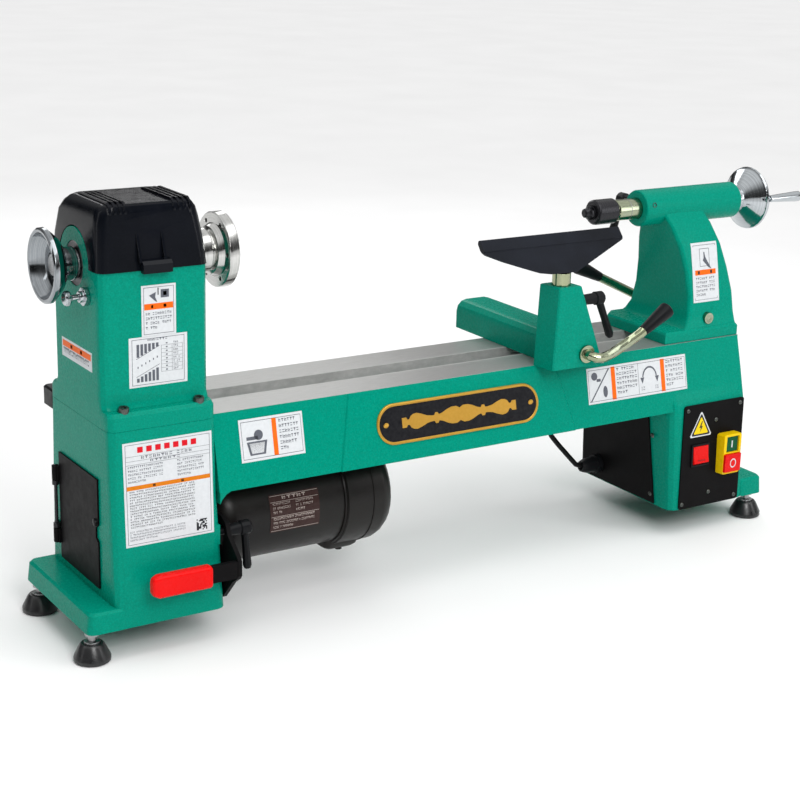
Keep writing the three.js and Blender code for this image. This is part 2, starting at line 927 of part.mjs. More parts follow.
add(
  "motor_shaft",
  turned(
    [
      [24, 0],
      [24, 7],
      [25, 8],
      [104, 8],
      [104, 11.6],
      [354, 11.6],
      [354, 0],
    ],
    "x",
    0,
    MOTOR_Z,
    16,
  ),
  STEEL,
);

// A flat bar in front of the column lifts the motor; its end is dipped in red plastic.
const BAR_Y = -112.2;
add(
  "tension_lever",
  join(box(94, PLATE_LEFT - GAP, BAR_Y, BAR_Y + 6, 75.6, 94.6), box(50, 96, BAR_Y + 1, BAR_Y + 5, 79, 91)),
  BLACK,
);
function gripRings(x0, x1, y0, y1, z0, z1) {
  const rings = [];
  const stations = [
    [x0, 5.5],
    [x0 + 1.6, 2.6],
    [x0 + 7, 0],
    [x1 - 2, 0],
    [x1, 1],
  ];
  for (const [x, inset] of stations) {
    const r = roundRect(y0 + inset * 0.6, y1 - inset * 0.6, z0 + inset, z1 - inset, 4.4 - inset * 0.4, 3);
    rings.push(r.map(([y, z]) => [x, y, z]));
  }
  return loft(rings);
}
add(
  "tension_grip",
  cut(
    gripRings(34.6, 101.5, BAR_Y - 4.5, BAR_Y + 9.5, 71.8, 96.6),
    box(50 - GAP, 96, BAR_Y + 1 - GAP, BAR_Y + 5 + GAP, 79 - GAP, 91 + GAP),
    box(93.7, 110, BAR_Y - GAP, BAR_Y + 6 + GAP, 75.6 - GAP, 94.6 + GAP),
  ),
  [0xe8100c, 0, 0.35],
);

// Ratchet handle: a hub on a screw, a downward arm that leans away from the face it clamps.
// axis is the screw's direction away from the face; arm is the way the lever points.
function ratchetHandle({ at, axis, arm, stud, hub, length, lean = 0.3, collar = 0 }) {
  const a = new THREE.Vector3(...axis).normalize();
  const down = new THREE.Vector3(...arm).normalize().addScaledVector(a, lean).normalize();
  const origin = new THREE.Vector3(...at);
  const along = (d) => origin.clone().addScaledVector(a, d).toArray();
  const bodies = [
    taper(along(-stud), axis, [[0, 0], [0, 3.9], [stud + 2, 3.9], [stud + 2, 0]], 12),
    taper(along(-collar), axis, [[0, 0], [0, 6.2], [collar + hub * 0.4, 6.8], [collar + hub * 0.45, 8.2],
      [collar + hub - 2, 8.2], [collar + hub, 6.4], [collar + hub, 0]], 12),
    taper(along(hub * 0.7), down.toArray(), [[0, 0], [0, 4.6], [length * 0.5, 4.4], [length - 4, 5.2],
      [length, 3.6], [length, 0]], 8),
  ];
  return join(...bodies);
}
add(
  "motor_lock_handle",
  ratchetHandle({
    at: [143.5, LOCK_Y, LOCK_Z],
    axis: [1, 0, 0],
    arm: [0, 0, -1],
    stud: 23,
    hub: 22,
    length: 48,
    lean: 0.08,
    collar: 5.5,
  }),
  BLACK,
);

// ---------------------------------------------------------------- pulley door
const DOOR_Y0 = -50.5;
const DOOR_Y1 = 54;
const DOOR_HINGE_Y = 58.4;
const doorSheet = prism(
  [
    [DOOR_Y0, 67.3],
    [DOOR_Y1, 67.3],
    [DOOR_Y1, 188.3],
    [DOOR_Y0, 188.3],
    [DOOR_Y0, 138],
    [DOOR_Y0 + 6, 134],
    [DOOR_Y0 + 6, 123],
    [DOOR_Y0, 119],
  ],
  "x",
  1.8,
  3.6,
);
const doorKnuckles = [
  [84, 100],
  [156, 172],
].map(([z0, z1]) =>
  join(
    rod("z", -0.6, DOOR_HINGE_Y, 4, z0, z1, 10),
    box(-0.6, 3.6, DOOR_Y1 - 2, DOOR_HINGE_Y - 0.6, z0, z1),
  ),
);
add(
  "pulley_door",
  cut(
    join(doorSheet, ...doorKnuckles),
    rod("z", -0.6, DOOR_HINGE_Y, 2.3, 70, 190, 10),
  ),
  BLACK,
);
add(
  "door_hinge_pin",
  join(
    rod("z", -0.6, DOOR_HINGE_Y, 2, 83, 173, 10),
    ...[
      [101, 106],
      [150, 155],
    ].map(([z0, z1]) =>
      join(rod("z", -0.6, DOOR_HINGE_Y, 4, z0, z1, 10), box(-0.6, 3.7, DOOR_HINGE_Y, 66, z0, z1)),
    ),
  ),
  STEEL,
);

// ---------------------------------------------------------------- feet
const feet = [
  ["front_left", FOOT_LEFT_X, -FOOT_Y],
  ["back_left", FOOT_LEFT_X, FOOT_Y],
  ["front_right", FOOT_RIGHT_X, -FOOT_Y],
  ["back_right", FOOT_RIGHT_X, FOOT_Y],
];
for (const [where, x, y] of feet) {
  add(
    `foot_pad_${where}`,
    turned(
      [
        [0, 0],
        [0, 17.6],
        [1.6, 19.6],
        [6, 19.6],
        [18, 13.6],
        [20.5, 11.6],
        [20.5, 8.9],
        [17.4, 8.9],
        [17.4, 0],
      ],
      "z",
      x,
      y,
      20,
    ),
    RUBBER,
  );
  add(
    `foot_stud_${where}`,
    turned(
      [
        [17.7, 0],
        [17.7, 8.5],
        [22.4, 8.5],
        [23.4, 4],
        [28.6, 4],
        [28.6, 7.6],
        [33.9, 7.6],
        [34.2, 4],
        [47.2, 4],
        [48.6, 2.6],
        [48.6, 0],
      ],
      "z",
      x,
      y,
      12,
    ),
    STEEL,
  );
}

// ---------------------------------------------------------------- banjo and tool rest
const onWays = BED_TOP + GAP;
function armRing(y, x0, x1, top, r) {
  const points = [
    [x0, onWays],
    [x1, onWays],
  ];
  for (let i = 0; i <= 3; i++) {
    const t = (Math.PI / 2) * (i / 3);
    points.push([x1 - r + r * Math.cos(t), top - r + r * Math.sin(t)]);
  }
  for (let i = 0; i <= 3; i++) {
    const t = (Math.PI / 2) * (1 + i / 3);
    points.push([x0 + r + r * Math.cos(t), top - r + r * Math.sin(t)]);
  }
  return points.map(([x, z]) => [x, y, z]);
}
const armBody = loft([
  armRing(127.5, 565.4, 617.6, 279.8, 12.6),
  armRing(125, 563.9, 619.2, 281.4, 14),
  armRing(-60, 563.6, 619.6, 281.4, 14),
  armRing(-86, 562, 619.6, 281.4, 14),
]);
// The block leans in towards its top; its back is a little narrower than its front.
function blockRing(z, frontLeft, frontRight, backLeft, backRight, front, back) {
  const r = 1.6;
  return [
    [frontRight - r, front, z],
    [frontRight, front + r, z],
    [backRight, back - r, z],
    [backRight - r, back, z],
    [backLeft + r, back, z],
    [backLeft, back - r, z],
    [frontLeft, front + r, z],
    [frontLeft + r, front, z],
  ];
}
const block = loft([
  blockRing(onWays, 548.5, 622.8, 544.8, 622.8, -98, -63.5),
  blockRing(262, 549, 616.5, 545.4, 616.5, -98, -63.6),
  blockRing(342.4, 552.4, 585, 548.2, 583, -98, -64.3),
  blockRing(343.4, 553.4, 584, 549.2, 582, -97, -65.3),
]);
const camBore = rod("y", CAM_X, CAM_Z, 7.3, -110, 112, 20);
const boltChannel = box(584, 607, -42, 108, BED_TOP - 5, 262);
const boltRoof = rod("y", CAM_X, CAM_Z, 11.5, -42, 108, 16);
const postBore = rod("z", POST_X, POST_Y, POST_R + GAP, 252, 360, 24);
const restLockBore = rod("x", POST_Y, 322, 4.2, POST_X, 620, 12);
add("banjo", cut(join(armBody, block), camBore, boltChannel, boltRoof, postBore, restLockBore), GREEN);

// The clamping shaft, its eccentric hidden in the arm, ends in a bent lever at the front.
const LEVER_R = 6;
const gripProfile = (length) => [
  [0, 0],
  [0, 6.3],
  [length - 4, 9.9],
  [length - 1.4, 9.2],
  [length, 7],
  [length, 0],
];
const gripBore = [
  [-1, 0],
  [-1, LEVER_R + GAP],
  [8, LEVER_R + GAP],
  [8, 0],
];
const grip = (start, direction, length) =>
  cut(taper(start, direction, gripProfile(length), 16), taper(start, direction, gripBore, 12));
// The last part of each bar is straight, so its grip can slide on along it.
function lever(bends, gripAt, direction) {
  const d = new THREE.Vector3(...direction).normalize();
  const end = new THREE.Vector3(...gripAt).addScaledVector(d, 7.6).toArray();
  const entry = new THREE.Vector3(...gripAt).addScaledVector(d, -5).toArray();
  return bar([...bends, entry, gripAt, end], LEVER_R, 15, 12);
}
const banjoGripAt = [669, -112, 283.6];
const banjoGripWay = [36, 0, 23];
add(
  "banjo_lever",
  join(
    lever(
      [
        [CAM_X, -84, CAM_Z],
        [CAM_X, -100, CAM_Z],
        [598.4, -108.4, 259.6],
        [607, -112, 258],
        [619, -112, 260.4],
        [640, -112, 269.4],
      ],
      banjoGripAt,
      banjoGripWay,
    ),
    rod("y", CAM_X, CAM_Z, 7, -90, 106, 20),
    rod("y", CAM_X, CAM_Z, 10.5, -101.5, -98.4, 20),
  ),
  CHROME,
);
add("banjo_lever_grip", grip(banjoGripAt, banjoGripWay, 44), BLACK);

// Below the ways a plate is drawn up by a bolt whose eye hangs on the shaft.
const plateTop = under - 6.6;
add(
  "banjo_clamp_plate",
  cut(
    join(
      box(CAM_X - 30, CAM_X + 30, -34, 34, plateTop - 11, plateTop),
      box(CAM_X - 14, CAM_X + 14, -SLOT_HALF + 0.6, SLOT_HALF - 0.6, plateTop - 1, plateTop + 12),
    ),
    rod("z", CAM_X, 0, 6.3, plateTop - 20, plateTop + 20, 16),
  ),
  STEEL,
);
add(
  "banjo_clamp_bolt",
  cut(
    join(
      rod("z", CAM_X, 0, 6, plateTop - 21, CAM_Z - 8, 16),
      rod("z", CAM_X, 0, 10, plateTop - 21, plateTop - 11.4, 6),
      rod("y", CAM_X, CAM_Z, 10.6, -8, 8, 20),
    ),
    rod("y", CAM_X, CAM_Z, 7.3, -12, 12, 20),
  ),
  STEEL,
);

// Cast tool rest: a long leaning blade with a thick lip along its top edge, deepest over its post.
const REST_TOP = SPINDLE_Z - 5.4;
const REST_LEAN = 0.76; // the face comes forward by this much for each millimetre down
function restRing(x, depth, thick) {
  const face = (d) => -60.4 - REST_LEAN * d;
  return [
    [x, -57.6, REST_TOP - 1],
    [x, -60.4, REST_TOP],
    [x, face(11.4) - 1.2, REST_TOP - 11.4],
    [x, face(12), REST_TOP - 12.6],
    [x, face(depth), REST_TOP - depth],
    [x, face(depth) + thick, REST_TOP - depth - 0.6],
    [x, Math.min(face(depth) + thick + 3, -58.5), REST_TOP - Math.max(depth * 0.62, 11.5)],
    [x, -56.6, REST_TOP - 5],
  ];
}
const restBlade = loft([
  restRing(463.9, 13.2, 6),
  restRing(466.3, 15.8, 6),
  restRing(487.3, 24.2, 7),
  restRing(529.3, 38.3, 16),
  restRing(545, 40.6, 22),
  restRing(581, 41.2, 22),
  restRing(657, 15.8, 7),
  restRing(664, 13.2, 6),
]);
const restFloor = REST_TOP - 41.4;
add("tool_rest", cut(restBlade, rod("z", POST_X, POST_Y, 4.8, restFloor - 5, restFloor + 5.5, 16)), CHARCOAL);
add(
  "rest_post",
  turned(
    [
      [266, 0],
      [266, POST_R - 1],
      [267, POST_R],
      [restFloor - 0.4, POST_R],
      [restFloor - 0.4, 4.5],
      [restFloor + 5.2, 4.5],
      [restFloor + 5.2, 0],
    ],
    "z",
    POST_X,
    POST_Y,
    24,
  ),
  CHROME,
);
add(
  "rest_lock_handle",
  ratchetHandle({
    at: [608, POST_Y, 322],
    axis: [1, 0, 0],
    arm: [0, 0, -1],
    stud: 28,
    hub: 21,
    length: 54,
    lean: 0.44,
    collar: 11,
  }),
  BLACK,
);

// ---------------------------------------------------------------- tailstock
// Rings with a cut back-left corner on the foot, then a body that narrows and leans back as it rises.
const tailFoot = loft(
  [
    [onWays, 0, 0],
    [257.6, 0, 0],
    [260.2, 1.6, 1.6],
  ].map(([z, inX, inY]) => [
    [747.2 + inX, -64 + inY, z],
    [866 - inX, -64 + inY, z],
    [866 - inX, 64 - inY, z],
    [762 + inX, 64 - inY, z],
    [747.2 + inX, 50, z],
  ]),
);
const tailBody = tower(
  [
    [onWays + 4, 777, 865.9, -63.6, 63.6, 3],
    [258, 777, 865.9, -62.6, 62.6, 3],
    [263, 783, 865.8, -60.6, 60.6, 4],
    [274, 789, 865.6, -57.4, 57.4, 5],
    [300, 791, 864.6, -53.4, 53.4, 6],
    [330, 788, 858, -48.3, 48.3, 6],
    [360, 781.4, 849.4, -42, 42, 6],
    [385, 774, 840.4, -31.6, 31.6, 6],
    [400, 768.4, 834.4, -22, 22, 6],
    [408, 766.6, 831.4, -16, 16, 6],
  ],
  3,
);
const BARREL_R = 22.6;
const barrel = turned(
  [
    [740.8, 0],
    [740.8, 19.5],
    [741.6, 21.6],
    [743.6, BARREL_R],
    [894.6, BARREL_R],
    [895.8, 21.4],
    [895.8, 0],
  ],
  "x",
  0,
  SPINDLE_Z,
  30,
);
const QUILL_R = 13;
add(
  "tailstock",
  cut(
    join(tailFoot, tailBody, barrel),
    rod("x", 0, SPINDLE_Z, QUILL_R + GAP, 735, 884, 24),
    rod("x", 0, SPINDLE_Z, 8.4, 880, 900, 16),
    tower(
      [
        [BED_TOP - 5, 797, 857, -54, 54, 5],
        [262, 799, 856, -50, 50, 5],
        [350, 795, 840, -32, 32, 5],
      ],
      2,
    ),
    rod("y", TAIL_CAM_X, TAIL_CAM_Z, 7.3, -70, 70, 20),
    rod("y", 752, 410, 4.2, 12, 30, 10),
  ),
  GREEN,
);
add(
  "quill",
  cut(
    turned(
      [
        [706.2, 0],
        [706.2, 12],
        [707.2, QUILL_R],
        [850, QUILL_R],
        [850, 0],
      ],
      "x",
      0,
      SPINDLE_Z,
      24,
    ),
    turned([[702, 0], [702, 9.4], [770, 7.3], [770, 0]], "x", 0, SPINDLE_Z, 20),
    rod("x", 0, SPINDLE_Z, 7.3, 765, 870, 16),
  ),
  CHROME,
);
add(
  "live_centre_body",
  cut(
    turned(
      [
        [671.5, 0],
        [671.5, 12.8],
        [673.6, 15],
        [676, 15.4],
        [702, 15.4],
        [704.4, 13.6],
        [705.8, 11.4],
        [705.9, 8.85],
        [766, 6.8],
        [766, 0],
      ],
      "x",
      0,
      SPINDLE_Z,
      24,
    ),
    rod("x", 0, SPINDLE_Z, 5.4, 660, 700, 20),
  ),
  BLACK,
);
const cupFlutes = [];
for (let i = 0; i < 4; i++) {
  const t = (Math.PI * i) / 2 + Math.PI / 4;
  cupFlutes.push(
    rod("x", 8.4 * Math.cos(t), SPINDLE_Z + 8.4 * Math.sin(t), 2.6, 660, 669.5, 10),
  );
}
add(
  "live_centre_point",
  cut(
    turned(
      [
        [658.6, 0],
        [658.6, 3.6],
        [660, 5.4],
        [664, 6],
        [666, 8.6],
        [671.2, 8.6],
        [671.2, 5],
        [698, 5],
        [698, 0],
      ],
      "x",
      0,
      SPINDLE_Z,
      20,
    ),
    ...cupFlutes,
  ),
  BLACK,
);

// Quill screw, turned by the handwheel and threaded into the quill.
add(
  "quill_screw",
  turned(
    [
      [794, 0],
      [794, 6.9],
      [876, 6.9],
      [876, 11.5],
      [883.6, 11.5],
      [883.6, 8],
      [922, 8],
      [922, 0],
    ],
    "x",
    0,
    SPINDLE_Z,
    16,
  ),
  STEEL,
);
add(
  "tail_handwheel",
  cut(
    turned(
      [
        [897, 8.3],
        [897, 14.6],
        [898, 15.8],
        [906, 16],
        [909, 19],
        [917, 31],
        [922.5, 36.6],
        [923.6, 39.2],
        [926, 39.8],
        [929, 38],
        [928.8, 34.4],
        [918, 24],
        [914, 15],
        [920, 8.3],
      ],
      "x",
      0,
      SPINDLE_Z,
      30,
    ),
    rod("x", -35.8, SPINDLE_Z + 4, 2.3, 915, 935, 10),
  ),
  CHROME,
);
add(
  "wheel_handle",
  turned(
    [
      [923.6, 0],
      [923.6, 2.1],
      [930.6, 2.1],
      [930.8, 4.2],
      [940, 4.8],
      [974, 6.6],
      [980, 6.6],
      [982.5, 5.2],
      [983, 3],
      [983, 0],
    ],
    "x",
    -35.8,
    SPINDLE_Z + 4,
    16,
  ),
  CHROME,
);
add(
  "quill_lock_handle",
  ratchetHandle({
    at: [752, 25, 410],
    axis: [0, 1, 0],
    arm: [-0.2, 0, -1],
    stud: 9,
    hub: 21,
    length: 44,
    lean: 0.15,
  }),
  BLACK,
);
const tailGripAt = [755, 80, 301.4];
const tailGripWay = [-24.6, 0, 11.6];
add(
  "tail_lock_lever",
  join(
    lever(
      [
        [TAIL_CAM_X, 50, TAIL_CAM_Z],
        [TAIL_CAM_X, 69, TAIL_CAM_Z],
        [815, 76.8, 272.6],
        [804, 80, 278.2],
        [780, 80, 289.6],
      ],
      tailGripAt,
      tailGripWay,
    ),
    rod("y", TAIL_CAM_X, TAIL_CAM_Z, 7, -62, 56, 20),
    rod("y", TAIL_CAM_X, TAIL_CAM_Z, 10, 64.6, 67.4, 20),
  ),
  CHROME,
);
add("tail_lock_grip", grip(tailGripAt, tailGripWay, 44), BLACK);
add(
  "tail_clamp",
  cut(
    join(
      box(TAIL_CAM_X - 28, TAIL_CAM_X + 28, -34, 34, plateTop - 11, plateTop),
      rod("z", TAIL_CAM_X, 0, 6, plateTop - 18, TAIL_CAM_Z - 8, 16),
      rod("z", TAIL_CAM_X, 0, 10, plateTop - 18, plateTop - 10, 6),
      rod("y", TAIL_CAM_X, TAIL_CAM_Z, 10.6, -8, 8, 20),
    ),
    rod("y", TAIL_CAM_X, TAIL_CAM_Z, 7.3, -12, 12, 20),
  ),
  STEEL,
);

// ---------------------------------------------------------------- controls on the right pedestal
const frontY = (z) => -91 + (4.2 * (z - BASE_Z)) / (150 - BASE_Z);
// A plate on the leaning front: thickness out from the wall.
function leaningPlate(x0, x1, z0, z1, off, thick, r) {
  const outline = roundRect(x0, x1, z0, z1, r, 2).map(([x, z]) => [x + 0.019 * (z - (z0 + z1) / 2), z]);
  const front = outline.map(([x, z]) => [x, frontY(z) - off - thick, z]);
  const back = outline.map(([x, z]) => [x, frontY(z) - off, z]);
  return loft([back, front]);
}
add(
  "control_panel",
  cut(
    leaningPlate(765, 864, BASE_Z + 0.5, 169.5, GAP, 2, 3),
    box(781, 807, -100, -70, 91, 116),
    box(826, 849, -100, -70, 74, 126),
  ),
  BLACK,
);
add(
  "rocker_switch",
  prism(
    [
      [-80, 95],
      [-92.5, 92],
      [-96.2, 94],
      [-94, 104],
      [-93, 115.4],
      [-89, 115.4],
      [-80, 112],
    ].reverse(),
    "x",
    781.8,
    806.2,
  ),
  [0xf01010, 0, 0.3],
);
const boxFront = -104;
add(
  "switch_box",
  cut(
    join(
      loft([
        roundRect(822, 852, 75, 127.4, 2, 1).map(([x, z]) => [x, frontY(z) - GAP - 2.3, z]),
        roundRect(822.6, 851.4, 76, 128.2, 2, 1).map(([x, z]) => [x, boxFront, z]),
      ]),
      box(826.6, 848.4, -97, -72, 76, 123),
    ),
    box(827.4, 847.6, -110, -76, 104.2, 125),
    box(823.4, 850.6, -110, -94, 78.6, 102.6),
    box(829.4, 846.6, -110, -76, 80, 101),
  ),
  [0xf4c800, 0, 0.4],
);
add(
  "start_button",
  join(box(828, 847, boxFront + 2, -84, 104.8, 124.4), box(832, 843, -86, -80, 108, 121)),
  [0x0b6b2c, 0, 0.4],
);
add(
  "stop_button",
  join(box(823.8, 850.2, boxFront - 3, -97.4, 79, 102.2), box(830, 846, -98, -80, 81, 100)),
  [0xe01010, 0, 0.35],
);

const leftX = (z) => 751.5 - (4 * (z - BASE_Z)) / (150 - BASE_Z);
const coverOutline = [
  [-61.5, BASE_Z + 2],
  [70, BASE_Z + 2],
  [84, 46],
  [84, 150],
  [78, BED_BOTTOM - 1],
  [-43, BED_BOTTOM - 1],
];
add(
  "side_cover",
  cut(
    loft([
      coverOutline.map(([y, z]) => [leftX(z) - GAP, y, z]),
      coverOutline.map(([y, z]) => [leftX(z) - GAP - 2.4, y, z]),
    ].reverse()),
    rod("x", 50, 57.4, 7.1, 730, 760, 16),
  ),
  BLACK,
);
const GLAND_Y = 50;
const GLAND_Z = 57.4;
add(
  "cable_gland",
  cut(
    turned(
      [
        [718, 4.6],
        [718, 7],
        [725, 9.6],
        [739, 10.4],
        [739, 12.4],
        [747, 12.4],
        [747, 6.8],
        [762, 6.8],
        [762, 4.6],
      ],
      "x",
      GLAND_Y,
      GLAND_Z,
      16,
    ),
  ),
  BLACK,
);

// The motor's cable climbs from the gland into the bed and ends at the motor's terminal box.
add(
  "motor_cable",
  bar(
    [
      [758, GLAND_Y, GLAND_Z],
      [740, GLAND_Y, GLAND_Z],
      [718, GLAND_Y, GLAND_Z],
      [708, 50, 63],
      [699, 50, 73],
      [685.8, 50, 86.4],
      [667.4, 50, 106.9],
      [648, 45, 132],
      [622, 38, 153],
      [590, 32, 162],
      [540, 29, 166],
      [460, 28, 168],
      [370, 28, 171],
      [356.6, 28, 171],
    ],
    3.4,
    36,
    8,
  ),
  RUBBER,
);

// The part's frame stands on the floor under the middle of its box.
const bounds = new THREE.Box3().setFromObject(group);
const middle = bounds.getCenter(new THREE.Vector3());
group.position.set(-middle.x, -middle.y, -bounds.min.z);

export default group;
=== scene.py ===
import math
import random
import bpy
import bmesh
from mathutils import Matrix, Vector


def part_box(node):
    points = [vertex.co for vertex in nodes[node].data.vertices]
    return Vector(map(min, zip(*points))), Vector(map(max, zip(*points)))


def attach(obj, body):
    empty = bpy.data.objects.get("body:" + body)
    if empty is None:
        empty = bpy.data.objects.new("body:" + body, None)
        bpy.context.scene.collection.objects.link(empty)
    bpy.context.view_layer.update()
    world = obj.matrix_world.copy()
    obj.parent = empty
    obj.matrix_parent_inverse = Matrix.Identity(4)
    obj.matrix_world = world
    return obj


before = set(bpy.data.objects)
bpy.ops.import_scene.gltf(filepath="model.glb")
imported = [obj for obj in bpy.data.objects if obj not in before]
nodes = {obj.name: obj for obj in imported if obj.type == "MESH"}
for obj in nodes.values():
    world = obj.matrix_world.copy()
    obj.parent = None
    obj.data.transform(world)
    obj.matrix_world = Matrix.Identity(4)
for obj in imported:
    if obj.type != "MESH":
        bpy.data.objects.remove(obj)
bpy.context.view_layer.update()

# Drawing coordinates in mm: x along the bed from the headstock, y = 0 on the spindle axis, z from the floor.
_lo, _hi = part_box("spindle")
OX, OY = _lo.x + 0.0195, (_lo.y + _hi.y) / 2
SPINDLE_Z = 405.6


def P(x, y, z):
    return Vector((x / 1000 + OX, y / 1000 + OY, z / 1000))


# ------------------------------------------------------------------ camera
def make_camera(x, y, z, yaw, pitch, roll, focal_px):
    a, p, r = math.radians(-yaw), math.radians(pitch), math.radians(roll)
    forward = Vector((math.sin(a) * math.cos(p), math.cos(a) * math.cos(p), math.sin(p)))
    right = Vector((math.cos(a), -math.sin(a), 0.0))
    up = right.cross(forward)
    c, s = math.cos(r), math.sin(r)
    x_axis, y_axis = c * right + s * up, -s * right + c * up
    data = bpy.data.cameras.new("camera")
    data.sensor_width = 36.0
    data.lens = focal_px * 36.0 / 800.0
    data.clip_start, data.clip_end = 0.05, 200.0
    cam = bpy.data.objects.new("camera", data)
    bpy.context.scene.collection.objects.link(cam)
    m = Matrix((x_axis, y_axis, -forward)).transposed().to_4x4()
    m.translation = P(x, y, z)
    cam.matrix_world = m
    bpy.context.scene.camera = cam


make_camera(-649.41, -1631.56, 787.59, -32.8, -16.7, 1.59, 1736.73)

# ------------------------------------------------------------------ lights and floor
scene = bpy.context.scene
scene.view_settings.view_transform = "Standard"
scene.view_settings.look = "None"
world = bpy.data.worlds.new("studio")
scene.world = world
world.use_nodes = True
wn = world.node_tree
# A light tent: bright above, dimmer near the horizon, with two darker panels for bright metal to show.
direction = wn.nodes.new("ShaderNodeTexCoord")
parts = wn.nodes.new("ShaderNodeSeparateXYZ")
wn.links.new(direction.outputs["Generated"], parts.inputs["Vector"])


def tent_ramp(socket, stops):
    n = wn.nodes.new("ShaderNodeValToRGB")
    while len(n.color_ramp.elements) < len(stops):
        n.color_ramp.elements.new(0.5)
    for e, (at, v) in zip(n.color_ramp.elements, stops):
        e.position, e.color = at, (v, v, v, 1)
    wn.links.new(socket, n.inputs["Fac"])
    return n.outputs["Color"]


def tent_math(op, a, b, c=None):
    n = wn.nodes.new("ShaderNodeMath")
    n.operation = op
    for i, v in enumerate((a, b, c)):
        if v is None:
            continue
        if isinstance(v, (int, float)):
            n.inputs[i].default_value = v
        else:
            wn.links.new(v, n.inputs[i])
    return n.outputs[0]


HEIGHT_STOPS = [(0.0, 0.6), (0.04, 0.6), (0.07, 0.16), (0.24, 0.28), (0.42, 0.64), (0.62, 0.95), (0.9, 0.84)]
height = tent_ramp(parts.outputs["Z"], HEIGHT_STOPS)
side = tent_math("MULTIPLY_ADD", parts.outputs["X"], 0.5, 0.5)
PANEL_STOPS = [(0.02, 0.14), (0.09, 0.22), (0.15, 0.06), (0.3, 0.08), (0.36, 0.6), (0.5, 0.5), (0.6, 0.1)]
PANEL_STOPS += [(0.74, 0.16), (0.84, 0.8)]
panels = tent_ramp(side, PANEL_STOPS)
low = tent_ramp(parts.outputs["Z"], [(0.03, 0.0), (0.06, 1.0), (0.4, 1.0), (0.7, 0.0)])
mixed = tent_math("MULTIPLY_ADD", tent_math("SUBTRACT", panels, 1.0), low, 1.0)
wn.links.new(tent_math("MULTIPLY", height, mixed), wn.nodes["Background"].inputs["Strength"])
wn.nodes["Background"].inputs["Color"].default_value = (1.0, 1.0, 1.0, 1)


def area_light(name, at, target, size, size_y, power, color=(1, 1, 1)):
    data = bpy.data.lights.new(name, "AREA")
    data.shape = "RECTANGLE"
    data.size, data.size_y = size, size_y
    data.energy, data.color = power, color
    ob = bpy.data.objects.new(name, data)
    scene.collection.objects.link(ob)
    ob.location = at
    ob.rotation_mode = "QUATERNION"
    ob.rotation_quaternion = (Vector(target) - Vector(at)).to_track_quat("-Z", "Y")


area_light("key", (-0.5, -2.1, 1.5), (0, 0, 0.25), 0.8, 0.8, 23)
area_light("front_right", (1.6, -1.7, 1.1), (0.2, 0, 0.25), 0.4, 1.4, 7)
area_light("left_side", (-1.9, 0.1, 0.8), (-0.3, 0, 0.3), 0.2, 1.2, 1.6)
area_light("back", (0.5, 1.9, 1.4), (0, 0, 0.3), 1.2, 0.8, 7)
sun_data = bpy.data.lights.new("overhead", "SUN")
sun_data.energy, sun_data.angle = 1.0, math.radians(50)
sun = bpy.data.objects.new("overhead", sun_data)
scene.collection.objects.link(sun)
sun.rotation_euler = (math.radians(22), math.radians(8), 0)


